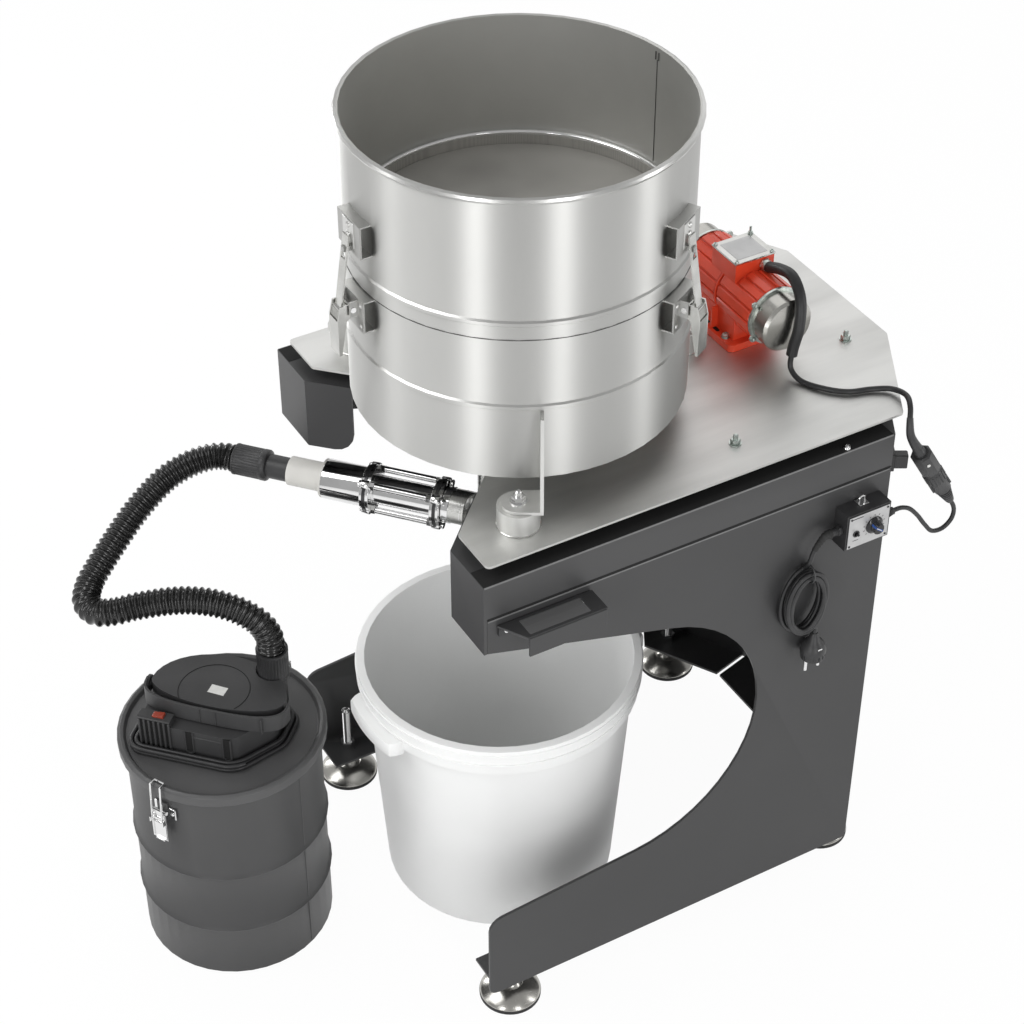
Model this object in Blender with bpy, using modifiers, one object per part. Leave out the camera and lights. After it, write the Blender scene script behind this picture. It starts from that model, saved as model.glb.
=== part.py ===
"""Vibrating sieve on an open-fronted sheet-steel stand, with its suction hose, drum vacuum and catch bucket.

Units are metres, +Z is up, -Y is the open front where the bucket goes in, and +Y is the motor's side.
The origin is on the floor, at the middle of the whole set's footprint. Everything on the stand is placed
from the sieve's vertical axis (the empty sieve_axis), and everything on the vacuum from vacuum_axis.
"""

import math

import bmesh
import bpy
from mathutils import Matrix, Vector

# Overall
GAP = 0.0003
MERGE_DISTANCE = 0.00001
SHEET = 0.004
ROUND_SIDES = 48
SMALL_SIDES = 20
OVERRUN = 0.004

# Sieve drum, round the sieve's axis: the pan's bottom from the floor, beads and hopper from their own foot
DRUM_RADIUS = 0.200
DRUM_WALL = 0.002
PAN_BOTTOM = 0.800
PAN_DEPTH = 0.188
PAN_BEAD_RISE = 0.098
HOPPER_DEPTH = 0.179
HOPPER_BEAD_RISE = 0.021
RIM_BEAD = 0.0045
BEAD_STAND = 0.0022
BEAD_HALF = 0.004
CONE_TOP_RISE = 0.072
CONE_FOOT_RISE = 0.022
LEDGE_DEPTH = 0.016
LEDGE_DROP = 0.010
LEDGE_THICK = 0.0025
GASKET_HEIGHT = 0.038
GASKET_THICK = 0.006
MESH_THICK = 0.0012
MESH_RISE = 0.020
OUTLET_RADIUS = 0.050
OUTLET_BELOW_PIPE = 0.045

# Deck, buffers and the stand, from the sieve's axis
DECK_TOP = 0.7594
DECK_THICK = 0.003
DECK_HALF_WIDTH = 0.250
DECK_FRONT = 0.184
DECK_SHOULDER = 0.3845
DECK_REAR = 0.4666
DECK_REAR_HALF = 0.1073
PRONG_INNER = 0.183
NOTCH_HALF = 0.075
NOTCH_REAR = 0.085
CORNER_ROUND = 0.006
STAND_HALF_WIDTH = 0.261
STAND_FRONT = 0.195
STAND_SHOULDER = 0.3665
STAND_REAR = 0.4547
STAND_REAR_HALF = 0.108
FRAME_TOP = 0.742
FRAME_SKIRT = 0.0475
ARM_DEPTH = 0.099
ARM_INNER = 0.185
CHEEK_LENGTH = 0.060
CHEEK_ROUND = 0.026
WELL_HALF_WIDTH = 0.112
WELL_REAR = 0.300
PANEL_BOTTOM = 0.049
SHADOW_GAP = 0.0015
MOUTH_TOP = 0.643
LEG_TOP = 0.187
ARC_BACK = 0.008
ARC_HEIGHT = 0.390
ARC_RADIUS = 0.187
LEG_ROUND = 0.020
PANEL_ROUND = 0.012
FLANGE_WIDTH = 0.060
FLANGE_SLIT = 0.003
BUFFER_RADIUS = 0.015
BUFFER_SIDES = 16
BUFFER_PLACES = (
    ("front", 0.214, -0.100),
    ("middle", 0.1987, 0.178),
    ("rear", 0.0918, 0.414),
)

# Levelling feet
FOOT_RADIUS = 0.040
FOOT_RUBBER = 0.007
FOOT_DOME = 0.018
FOOT_NECK = 0.009
SPINDLE_RADIUS = 0.006
SPINDLE_TOP = 0.122
FOOT_NUT_RADIUS = 0.0105
FOOT_NUT_HEIGHT = 0.010
FRONT_FOOT_X = 0.232
FRONT_FOOT_Y = -0.145
REAR_FOOT_X = 0.195
REAR_FOOT_Y = 0.372

# Carrying handles on the side panels
HANDLE_FRONT = 0.179
HANDLE_LENGTH = 0.124
HANDLE_CHAMFER = 0.020
HANDLE_TOP = 0.682
HANDLE_HEIGHT = 0.028
HANDLE_REACH = 0.038
HANDLE_SHEET = 0.003
HANDLE_FLANGE = 0.016
GRIP_INSET = 0.018

# Drum supports
PAD_RADIUS = 0.025
PAD_CIRCLE = 0.232
PAD_HEIGHT = 0.0285
SUPPORT_ANGLES = (-30, 90, 210)
BRACKET_SHEET = 0.004
BRACKET_OFFSET = 0.026
BRACKET_REACH = 0.252
BRACKET_TOP_REACH = 0.216
BRACKET_RISE = 0.093
BRACKET_FOOT_HALF = 0.020

# Toggle latches that clamp the hopper to the pan
LATCH_ANGLES = (-90, 30, 150)
BOX_WIDTH = 0.052
BOX_HEIGHT = 0.041
BOX_DEPTH = 0.0125
BOX_SHEET = 0.002
PAN_BOX_DROP = 0.0215
HOPPER_BOX_RISE = 0.0755
EAR_THICK = 0.002
EAR_INSIDE = 0.0135
EAR_REACH = 0.011
EAR_HEIGHT = 0.020
LEVER_PIVOT_OUT = 0.0195
LEVER_PIVOT_DROP = 0.013
LEVER_PIN_RADIUS = 0.002
LEVER_HALF_WIDTH = 0.011
LEVER_SHEET = 0.002
LEVER_LENGTH = 0.060
LEVER_DEPTH = 0.017
BAIL_PIVOT_OUT = 0.0295
BAIL_PIVOT_DROP = 0.003
BAIL_EYE_RADIUS = 0.003
BAIL_HALF_WIDTH = 0.007
BAIL_SHEET = 0.002
BAIL_TOP_RISE = 0.0755
BAIL_TOP_OUT = 0.016
WINDOW_HALF = 0.0042
WINDOW_TALL = 0.016
KEEPER_HALF = 0.003
KEEPER_REACH = 0.009
KEEPER_TALL = 0.006
KEEPER_RISE = 0.0615

# Vibration motor on the deck, along X
MOTOR_BACK = 0.3166
MOTOR_AXIS_RISE = 0.0584
MOTOR_RADIUS = 0.0365
MOTOR_HALF = 0.0735
MOTOR_FOOT_HALF_X = 0.047
MOTOR_FOOT_HALF_Y = 0.0446
MOTOR_FOOT_THICK = 0.010
MOTOR_BASE_HALF_X = 0.037
MOTOR_BASE_HALF_Y = 0.033
CAP_RADIUS = 0.0352
CAP_LENGTH = 0.033
CAP_WALL = 0.0015
CAP_ROUND = 0.008
SHAFT_RADIUS = 0.006
SHAFT_STAND = 0.020
SHAFT_CLEARANCE = 0.0008
WEIGHT_RADIUS = 0.029
WEIGHT_THICK = 0.014
WEIGHT_STAND = 0.011
WEIGHT_HUB = 0.011
TERMINAL_HALF_X = 0.0255
TERMINAL_HALF_Y = 0.028
TERMINAL_RISE = 0.0525
LID_THICK = 0.0025

# Motor cable, its sleeve and connector, and the controller's cable
CABLE_RADIUS = 0.0035
CONNECTOR_RADIUS = 0.0115
CONNECTOR_NECK = 0.006

# Speed controller on the right side panel
CONTROL_FRONT = 0.288
CONTROL_LENGTH = 0.064
CONTROL_BOTTOM = 0.610
CONTROL_HEIGHT = 0.0525
CONTROL_DEPTH = 0.0245
FACE_THICK = 0.001
FACE_INSET = 0.002
KNOB_RADIUS = 0.0105
KNOB_SKIRT = 0.0120
KNOB_BACK = 0.040
KNOB_UP = 0.027
TOGGLE_BACK = 0.014
TOGGLE_UP = 0.023
TOGGLE_HALF_Y = 0.0035
TOGGLE_HALF_Z = 0.0055
TOGGLE_REACH = 0.0055
TOGGLE_WELL = 0.004
TOGGLE_CLEARANCE = 0.0012
ROCKER_TILT = 8.0
GLAND_RADIUS = 0.0050
GLAND_LENGTH = 0.014
MOTOR_GLAND_RISE = 0.024
MAINS_GLAND_RISE = 0.026
GLAND_STAND = 0.013
MAINS_RADIUS = 0.0030

# Mains lead: its hank and its moulded plug
HANK_BACK = 0.2445
HANK_MIDDLE = 0.540
HANK_WIDTH = 0.074
HANK_HEIGHT = 0.112
HANK_THICK = 0.024
HANK_BORE = 0.030
HANK_STAND = 0.003
PLUG_RADIUS = 0.0165
PLUG_LENGTH = 0.030
PLUG_PIN_RADIUS = 0.0024
PLUG_PIN_LENGTH = 0.019
PLUG_PIN_SPREAD = 0.0095
PLUG_NECK = 0.0055
PLUG_NECK_LENGTH = 0.0145
PLUG_TOP = 0.4900
PLUG_STAND = 0.0170
PLUG_BACK = 0.2620

# Suction pipe: along its own axis, away from the sieve's axis
PIPE_DROP = 0.1844
PIPE_ANGLE = 221.4
PIPE_WALL = 0.002
BRANCH_RADIUS = 0.0225
BRANCH_END = 0.0955
SIGHT_RADIUS = 0.0195
SIGHT_START = 0.0958
SIGHT_END = 0.2012
SIGHT_FLANGE = 0.031
SIGHT_FLANGE_THICK = 0.012
SIGHT_ROD_CIRCLE = 0.0265
SIGHT_ROD_RADIUS = 0.003
PIPE_SLEEVE_RADIUS = 0.026
PIPE_SLEEVE_LENGTH = 0.055
ADAPTER_RADIUS = 0.019
ADAPTER_LIP = 0.0255
ADAPTER_LIP_THICK = 0.003
ADAPTER_LENGTH = 0.050
CUFF_RADIUS = 0.0205
CUFF_NECK = 0.0158
CUFF_NECK_LENGTH = 0.030
CUFF_LENGTH = 0.046
HOSE_RADIUS = 0.018

# Drum vacuum, round its own axis
VACUUM_SIDE = -0.083
VACUUM_ROOM = 0.0384
LID_RADIUS = 0.133
LID_TOP = 0.3405
LID_RIM_TALL = 0.016
LID_WELL = 0.007
LID_SHEET = 0.0025
CANISTER_RADIUS = 0.124
CANISTER_WALL = 0.002
CANISTER_BEADS = (0.186, 0.088)
CANISTER_BEAD_HALF = 0.006
CANISTER_BEAD_STAND = 0.0035
CANISTER_FLOOR = 0.004
HEAD_SIDE = 0.008
HEAD_FORWARD = 0.004
HEAD_ANGLE = 44.0
HEAD_TOP = 0.405
HEAD_SHOULDER = 0.378
HEAD_LEFT = 0.088
HEAD_RIGHT = 0.075
HEAD_FRONT = 0.054
HEAD_BACK = 0.066
HEAD_ROUND = 0.024
VENT_LENGTH = 0.044
VENT_DEPTH = 0.0145
VENT_RISE = 0.010
TOP_HALF = 0.088
TOP_FRONT = 0.030
TOP_BACK = 0.064
SPOUT_RADIUS = 0.0165
SPOUT_TOP = 0.394
SPOUT_PLACE = (0.053, 0.056)
SPOUT_CLEARANCE = 0.002
BAND_HALF = 0.0925
BAND_FRONT = 0.0345
BAND_THICK = 0.003
BAND_TALL = 0.024
BAND_SIDES = 20
PIVOT_RADIUS = 0.005
SWITCH_HALF_X = 0.0075
SWITCH_HALF_Y = 0.0045
SWITCH_INSET = 0.0072
SWITCH_TALL = 0.0050
SWITCH_WELL = 0.004
SWITCH_CLEARANCE = 0.0010
FLEX_CLEARANCE = 0.003
FLEX_WIDTH = 0.011
FLEX_TALL = 0.013
FLEX_PLUG_LENGTH = 0.036
FLEX_PLUG_RADIUS = 0.010
CLIP_ANGLES = (-62.0, 118.0)
CLIP_HALF_WIDTH = 0.011
CLIP_SHEET = 0.0015
CLIP_LEVER_LENGTH = 0.046
CLIP_PIVOT_HEIGHT = 0.296
CLIP_PIVOT_STAND = 0.0085
CLIP_PIN_RADIUS = 0.003
CLIP_WIRE_RADIUS = 0.0016
CLIP_WIRE_OUT = 0.006
CLIP_WIRE_DROP = 0.012
CLIP_LUG_THICK = 0.0015
CLIP_LUG_SIZE = 0.008
CLIP_BASE_STAND = 0.003
CLIP_BASE_HALF = 0.008
CLIP_BASE_TALL = 0.034

# Catch bucket, under the sieve's outlet
BUCKET_FORWARD = 0.028
BUCKET_TOP_RADIUS = 0.186
BUCKET_TOP = 0.365
BUCKET_SKIRT_BOTTOM = 0.323
BUCKET_NECK_RADIUS = 0.174
BUCKET_BASE_RADIUS = 0.154
BUCKET_WALL = 0.0028
BUCKET_SKIRT_GAP = 0.006
BUCKET_FOOT_ROUND = 0.010

# Colours, roughness and metallic value of each material
FINISHES = {
    "stainless": ((0.62, 0.62, 0.60), 0.30, 1.0),
    "black_paint": ((0.045, 0.045, 0.047), 0.45, 0.0),
    "rubber": ((0.020, 0.020, 0.020), 0.80, 0.0),
    "chrome": ((0.80, 0.80, 0.80), 0.10, 1.0),
    "wire_mesh": ((0.30, 0.29, 0.27), 0.55, 1.0),
    "red_paint": ((0.62, 0.045, 0.020), 0.35, 0.0),
    "cable_black": ((0.025, 0.025, 0.027), 0.50, 0.0),
    "black_plastic": ((0.030, 0.030, 0.032), 0.40, 0.0),
    "blue_plastic": ((0.020, 0.080, 0.260), 0.35, 0.0),
    "cream_plastic": ((0.72, 0.70, 0.66), 0.45, 0.0),
    "red_plastic": ((0.55, 0.090, 0.040), 0.35, 0.0),
    "white_plastic": ((0.80, 0.81, 0.80), 0.40, 0.0),
    "drum_paint": ((0.035, 0.035, 0.037), 0.50, 0.0),
}

# Worked out from the sizes above
SEAM_HEIGHT = PAN_BOTTOM + PAN_DEPTH
RIM_HEIGHT = SEAM_HEIGHT + HOPPER_DEPTH
PAN_BEAD_HEIGHT = PAN_BOTTOM + PAN_BEAD_RISE
HOPPER_BEAD_HEIGHT = SEAM_HEIGHT + HOPPER_BEAD_RISE
CONE_TOP = PAN_BOTTOM + CONE_TOP_RISE
CONE_FOOT = PAN_BOTTOM + CONE_FOOT_RISE
BRACKET_TOP = PAN_BOTTOM + BRACKET_RISE
PAN_BOX_HEIGHT = SEAM_HEIGHT - PAN_BOX_DROP
HOPPER_BOX_HEIGHT = SEAM_HEIGHT + HOPPER_BOX_RISE
LEVER_PIVOT_HEIGHT = SEAM_HEIGHT - LEVER_PIVOT_DROP
BAIL_TOP_HEIGHT = SEAM_HEIGHT + BAIL_TOP_RISE
KEEPER_HEIGHT = SEAM_HEIGHT + KEEPER_RISE
PIPE_HEIGHT = DECK_TOP - PIPE_DROP
OUTLET_BOTTOM = PIPE_HEIGHT - OUTLET_BELOW_PIPE
VACUUM_FORWARD = BUCKET_FORWARD + BUCKET_TOP_RADIUS + LID_RADIUS + VACUUM_ROOM
OVERALL_DEPTH = DECK_REAR + VACUUM_FORWARD + LID_RADIUS
SIEVE_BACK = OVERALL_DEPTH / 2 - DECK_REAR
VACUUM_BACK = SIEVE_BACK - VACUUM_FORWARD
MOTOR_HEIGHT = DECK_TOP + MOTOR_AXIS_RISE
SHAFT_HALF = MOTOR_HALF + SHAFT_STAND
WEIGHT_PLACE = MOTOR_HALF + WEIGHT_STAND
CANISTER_TOP = LID_TOP - LID_WELL - LID_SHEET - GAP
KNOB_REACH = HANDLE_REACH - CONTROL_DEPTH - FACE_THICK
KNOB_PLACE = (CONTROL_FRONT + KNOB_BACK, CONTROL_BOTTOM + KNOB_UP)
TOGGLE_PLACE = (CONTROL_FRONT + TOGGLE_BACK, CONTROL_BOTTOM + TOGGLE_UP)
ADAPTER_START = SIGHT_END + PIPE_SLEEVE_LENGTH
CUFF_START = ADAPTER_START + ADAPTER_LENGTH
HOSE_START = CUFF_START + CUFF_NECK_LENGTH + CUFF_LENGTH

# Routes of the cords, from the sieve's axis, between the faces where each one starts and ends
MOTOR_CABLE_ROUTE = (
    (0.0258, 0.3300, 0.8610),
    (0.0340, 0.3300, 0.8610),
    (0.0540, 0.3330, 0.8680),
    (0.0800, 0.3330, 0.8720),
    (0.1060, 0.3275, 0.8580),
    (0.1175, 0.3205, 0.8260),
    (0.1170, 0.3140, 0.7920),
    (0.1210, 0.3105, 0.7710),
    (0.1390, 0.3120, 0.7636),
    (0.1660, 0.3260, 0.7636),
    (0.1870, 0.3480, 0.7636),
    (0.1970, 0.3760, 0.7636),
    (0.2100, 0.3960, 0.7650),
    (0.2330, 0.4000, 0.7690),
    (0.2530, 0.3910, 0.7680),
    (0.2650, 0.3830, 0.7560),
    (0.2700, 0.3820, 0.7410),
    (0.2720, 0.3869, 0.7286),
    (0.2725, 0.3920, 0.7200),
)
CONTROL_CABLE_ROUTE = (
    (0.2780, 0.4520, 0.6190),
    (0.2785, 0.4571, 0.6104),
    (0.2780, 0.4610, 0.5980),
    (0.2770, 0.4590, 0.5840),
    (0.2760, 0.4480, 0.5740),
    (0.2750, 0.4330, 0.5750),
    (0.2745, 0.4200, 0.5900),
    (0.2742, 0.4050, 0.6120),
    (0.2740, 0.3900, 0.6280),
    (0.2740, 0.3760, 0.6340),
    (0.2740, 0.3663, 0.6340),
)
MAINS_ROUTE = (
    (0.2740, 0.2737, 0.6360),
    (0.2740, 0.2670, 0.6360),
    (0.2752, 0.2570, 0.6290),
    (0.2760, 0.2480, 0.6170),
    (0.2763, 0.2445, 0.6050),
    (0.2763, 0.2445, 0.5920),
)
HOSE_ROUTE = (
    (-0.2867, -0.2528, 0.5750),
    (-0.2957, -0.2607, 0.5750),
    (-0.3035, -0.2720, 0.5748),
    (-0.3085, -0.2890, 0.5738),
    (-0.3110, -0.3100, 0.5705),
    (-0.3100, -0.3420, 0.5610),
    (-0.2960, -0.3880, 0.5410),
    (-0.2787, -0.4240, 0.5230),
    (-0.2570, -0.4610, 0.5050),
    (-0.2410, -0.4830, 0.4940),
    (-0.2190, -0.4960, 0.4870),
    (-0.1985, -0.4910, 0.4850),
    (-0.1870, -0.4740, 0.4870),
    (-0.1760, -0.4450, 0.4920),
    (-0.1570, -0.4090, 0.4990),
    (-0.1400, -0.3840, 0.5020),
    (-0.1190, -0.3590, 0.5010),
    (-0.0990, -0.3370, 0.4930),
    (-0.0830, -0.3200, 0.4770),
    (-0.0760, -0.3130, 0.4560),
    (-0.0760, -0.3130, 0.4406),
)


def clear_scene():
    for obj in list(bpy.data.objects):
        bpy.data.objects.remove(obj)


def new_collection(name):
    made = bpy.data.collections.new(name)
    bpy.context.scene.collection.children.link(made)
    return made


def new_material(name):
    colour, roughness, metallic = FINISHES[name]
    made = bpy.data.materials.new(name)
    made.use_nodes = True
    shader = made.node_tree.nodes["Principled BSDF"]
    shader.inputs["Base Color"].default_value = (*colour, 1.0)
    shader.inputs["Roughness"].default_value = roughness
    shader.inputs["Metallic"].default_value = metallic
    made.diffuse_color = (*colour, 1.0)
    return made


def new_object(name, mesh):
    obj = bpy.data.objects.new(name, mesh)
    parts.objects.link(obj)
    return obj


def empty(name, location, turn=0.0, parent=None):
    made = bpy.data.objects.new(name, None)
    made.location = location
    made.rotation_euler = (0, 0, turn)
    made.parent = parent
    parts.objects.link(made)
    return made


def box(name, low, high):
    """A block between two corners."""
    shape = bmesh.new()
    bmesh.ops.create_cube(shape, size=1.0)
    low, high = Vector(low), Vector(high)
    size = high - low
    bmesh.ops.scale(shape, vec=size, verts=shape.verts)
    bmesh.ops.translate(shape, vec=(low + high) / 2, verts=shape.verts)
    mesh = bpy.data.meshes.new(name)
    shape.to_mesh(mesh)
    shape.free()
    return new_object(name, mesh)


def rod(name, start, end, radius, sides=SMALL_SIDES, end_radius=None):
    """A round bar, or a cone, between two points."""
    start, end = Vector(start), Vector(end)
    shape = bmesh.new()
    bmesh.ops.create_cone(
        shape,
        cap_ends=True,
        segments=sides,
        radius1=radius,
        radius2=radius if end_radius is None else end_radius,
        depth=(end - start).length,
    )
    turn = (end - start).to_track_quat("Z", "Y").to_matrix().to_4x4()
    bmesh.ops.transform(shape, matrix=Matrix.Translation((start + end) / 2) @ turn, verts=shape.verts)
    mesh = bpy.data.meshes.new(name)
    shape.to_mesh(mesh)
    shape.free()
    return new_object(name, mesh)


def turned(name, profile, closed, sides=ROUND_SIDES):
    """A profile of (radius, height) points turned round Z. It runs down its outer side."""
    count = len(profile)
    edges = [(i, i + 1) for i in range(count - 1)]
    if closed:
        edges.append((count - 1, 0))
    mesh = bpy.data.meshes.new(name)
    mesh.from_pydata([(r, 0, z) for r, z in profile], edges, [])
    obj = new_object(name, mesh)
    screw = obj.modifiers.new("turn", "SCREW")
    screw.steps = sides
    screw.render_steps = sides
    screw.use_merge_vertices = True
    screw.merge_threshold = MERGE_DISTANCE
    screw.use_smooth_shade = True
    return obj


def baked(obj):
    """The object with its modifiers applied, as a plain mesh with its loose caps welded."""
    bpy.context.view_layer.update()
    graph = bpy.context.evaluated_depsgraph_get()
    mesh = bpy.data.meshes.new_from_object(obj.evaluated_get(graph))
    shape = bmesh.new()
    shape.from_mesh(mesh)
    bmesh.ops.remove_doubles(shape, verts=shape.verts, dist=MERGE_DISTANCE)
    bmesh.ops.recalc_face_normals(shape, faces=shape.faces)
    shape.to_mesh(mesh)
    shape.free()
    name = obj.name
    matrix = obj.matrix_world.copy()
    bpy.data.objects.remove(obj)
    made = new_object(name, mesh)
    made.matrix_world = matrix
    return made


def sheet(name, outline, thickness, matrix):
    """A flat outline with its thickness to both sides, moved to its plane by a matrix."""
    curve = bpy.data.curves.new(name, "CURVE")
    curve.dimensions = "2D"
    curve.fill_mode = "BOTH"
    curve.extrude = thickness / 2
    spline = curve.splines.new("POLY")
    spline.points.add(len(outline) - 1)
    for point, (x, y) in zip(spline.points, outline):
        point.co = (x, y, 0, 1)
    spline.use_cyclic_u = True
    obj = baked(new_object(name, curve))
    obj.data.transform(matrix)
    return obj


def slab(name, outline, low, high):
    """A plan outline between two heights."""
    return sheet(name, outline, high - low, Matrix.Translation((0, 0, (low + high) / 2)))


def side_sheet(name, outline, low, high):
    """An outline of (y, z) points between two places along X."""
    turn = Matrix(((0, 0, 1, 0), (1, 0, 0, 0), (0, 1, 0, 0), (0, 0, 0, 1)))
    return sheet(name, outline, high - low, Matrix.Translation(((low + high) / 2, 0, 0)) @ turn)


def front_sheet(name, outline, low, high):
    """An outline of (x, z) points between two places along Y."""
    turn = Matrix(((1, 0, 0, 0), (0, 0, -1, 0), (0, 1, 0, 0), (0, 0, 0, 1)))
    return sheet(name, outline, high - low, Matrix.Translation((0, (low + high) / 2, 0)) @ turn)


def combine(target, others, operation="UNION"):
    """Joins helpers to the target, or cuts them from it, and puts them away with the cutters."""
    for other in others:
        modifier = target.modifiers.new(other.name, "BOOLEAN")
        modifier.operation = operation
        modifier.object = other
        modifier.solver = "EXACT"
        parts.objects.unlink(other)
        cutters.objects.link(other)
        other.hide_render = True
        other.display_type = "WIRE"
    return target


def finish(obj, material, parent=None, origin=None):
    """Gives a piece its material, its smooth shading, its parent and its origin."""
    obj.data.materials.clear()
    obj.data.materials.append(materials[material])
    if obj.type == "MESH" and obj.data.polygons:
        obj.data.shade_smooth()
        obj.data.set_sharp_from_angle(angle=math.radians(35))
    if origin is not None:
        shift = Vector(origin)
        obj.data.transform(Matrix.Translation(-shift))
        for modifier in obj.modifiers:
            if modifier.type == "BOOLEAN":
                modifier.object.parent = obj
                modifier.object.location = modifier.object.location - shift
        obj.location = shift
    else:
        for modifier in obj.modifiers:
            if modifier.type == "BOOLEAN":
                modifier.object.parent = obj
    obj.parent = parent
    return obj


def arc(centre, radius, start, end, steps):
    """Points round a centre, from one angle to another in radians."""
    return [
        (
            centre[0] + radius * math.cos(start + (end - start) * i / steps),
            centre[1] + radius * math.sin(start + (end - start) * i / steps),
        )
        for i in range(steps + 1)
    ]


def fillet(corner, before, after, radius, steps=4):
    """The rounded corner of an outline, between its two neighbours."""
    corner, before, after = Vector(corner), Vector(before), Vector(after)
    one = (before - corner).normalized()
    two = (after - corner).normalized()
    half = one.angle(two) / 2
    centre = corner + (one + two).normalized() * radius / math.sin(half)
    start = corner + one * radius / math.tan(half) - centre
    end = corner + two * radius / math.tan(half) - centre
    turn = math.atan2(start.x * end.y - start.y * end.x, start.dot(end))
    first = math.atan2(start.y, start.x)
    return arc(centre, radius, first, first + turn, steps)


def rounded(outline):
    """An outline of (x, y, corner radius) points with its corners rounded."""
    points = []
    for i, (x, y, radius) in enumerate(outline):
        if radius:
            points += fillet((x, y), outline[i - 1][:2], outline[(i + 1) % len(outline)][:2], radius)
        else:
            points.append((x, y))
    return points


def mirrored(half):
    """A whole outline from its right half, listed from the front to the back."""
    return half + [(-x, *rest) for x, *rest in reversed(half)]


def tangent_point(outside, centre, radius, side):
    """The angle on a circle where a line from a point outside touches it."""
    reach = Vector(outside) - Vector(centre)
    angle = math.atan2(reach.y, reach.x) + side * math.acos(radius / reach.length)
    return angle


def smooth_route(route, spacing):
    """Evenly spaced points on a smooth curve through the route; its first and last stretches stay straight."""
    points = [Vector(p) for p in route]
    fine = []
    for a, b, c, d in zip(points, points[1:], points[2:], points[3:]):
        knots = [0.0]
        for p, q in ((a, b), (b, c), (c, d)):
            knots.append(knots[-1] + (q - p).length ** 0.5)
        for i in range(12):
            t = knots[1] + (knots[2] - knots[1]) * i / 12
            ab = a.lerp(b, t / knots[1])
            bc = b.lerp(c, (t - knots[1]) / (knots[2] - knots[1]))
            cd = c.lerp(d, (t - knots[2]) / (knots[3] - knots[2]))
            abc = ab.lerp(bc, t / knots[2])
            bcd = bc.lerp(cd, (t - knots[1]) / (knots[3] - knots[1]))
            fine.append(abc.lerp(bcd, (t - knots[1]) / (knots[2] - knots[1])))
    fine.append(points[-2])
    lengths = [0.0]
    for p, q in zip(fine, fine[1:]):
        lengths.append(lengths[-1] + (q - p).length)
    count = max(2, round(lengths[-1] / spacing))
    even = [points[0]]
    j = 0
    for i in range(count + 1):
        wanted = lengths[-1] * i / count
        while j < len(fine) - 2 and lengths[j + 1] < wanted:
            j += 1
        share = (wanted - lengths[j]) / (lengths[j + 1] - lengths[j])
        even.append(fine[j].lerp(fine[j + 1], min(1.0, share)))
    return even + [points[-1]]


def round_curve(name, points, radius, resolution):
    """A curve through the points with a round section and closed ends."""
    curve = bpy.data.curves.new(name, "CURVE")
    curve.dimensions = "3D"
    curve.bevel_depth = radius
    curve.bevel_resolution = resolution
    curve.use_fill_caps = True
    spline = curve.splines.new("POLY")
    spline.points.add(len(points) - 1)
    for point, place in zip(spline.points, points):
        point.co = (*place, 1)
    return curve


def cord(name, route, radius, material, spacing_share=2.5, resolution=2):
    """A plain tube along a cord's route."""
    points = smooth_route(route, spacing_share * 2 * radius)
    obj = new_object(name, round_curve(name, points, radius, resolution))
    return finish(obj, material, sieve_axis)


def bead(height, stand, half):
    """Profile points of a pressed bead on a wall of DRUM_RADIUS, from its top down."""
    return [
        (DRUM_RADIUS, height + half),
        (DRUM_RADIUS + stand, height + half / 2),
        (DRUM_RADIUS + stand, height - half / 2),
        (DRUM_RADIUS, height - half),
    ]


def latch_box(name, height, turn):
    """An open-ended folded channel on the drum's wall: front plate, top and bottom."""
    seat = DRUM_RADIUS - DRUM_WALL / 2
    outer = DRUM_RADIUS + BOX_DEPTH
    half, half_width = BOX_HEIGHT / 2, BOX_WIDTH / 2
    spread = math.asin(half_width / seat)
    outline = [(outer, -half_width), (outer, half_width)] + arc((0, 0), seat, spread, -spread, 4)
    low, high = height - half, height + half
    step = BOX_SHEET / 10
    plates = [
        box(
            name + "_front",
            (outer - BOX_SHEET, step - half_width, low + step),
            (outer + step, half_width - step, high - step),
        ),
        slab(name + "_top", outline, high - BOX_SHEET, high),
        slab(name + "_foot", outline, low, low + BOX_SHEET),
    ]
    for plate in plates:
        plate.data.transform(Matrix.Rotation(turn, 4, "Z"))
    return plates


def build_hopper():
    wall_in = DRUM_RADIUS - DRUM_WALL
    rim_in = RIM_BEAD * 0.3
    profile = [
        (wall_in, RIM_HEIGHT - rim_in),
        (DRUM_RADIUS, RIM_HEIGHT),
        (DRUM_RADIUS + RIM_BEAD * 0.7, RIM_HEIGHT - rim_in),
        (DRUM_RADIUS + RIM_BEAD, RIM_HEIGHT - RIM_BEAD),
        (DRUM_RADIUS + RIM_BEAD * 0.7, RIM_HEIGHT - 2 * RIM_BEAD + rim_in),
        (DRUM_RADIUS, RIM_HEIGHT - 2 * RIM_BEAD),
        *bead(HOPPER_BEAD_HEIGHT, BEAD_STAND, BEAD_HALF),
        (DRUM_RADIUS, SEAM_HEIGHT + GAP),
        (wall_in, SEAM_HEIGHT + GAP),
    ]
    hopper = turned("hopper_ring", profile, closed=True)
    for i, angle in enumerate(LATCH_ANGLES):
        turn = math.radians(angle)
        combine(hopper, latch_box(f"catch_box_{i + 1}", HOPPER_BOX_HEIGHT, turn))
        outer = DRUM_RADIUS + BOX_DEPTH
        keeper = box(
            f"keeper_{i + 1}",
            (outer - BOX_SHEET / 2, -KEEPER_HALF, KEEPER_HEIGHT - KEEPER_TALL),
            (outer + KEEPER_REACH, KEEPER_HALF, KEEPER_HEIGHT),
        )
        keeper.data.transform(Matrix.Rotation(turn, 4, "Z"))
        combine(hopper, [keeper])
    return finish(hopper, "stainless", sieve_axis)


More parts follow.
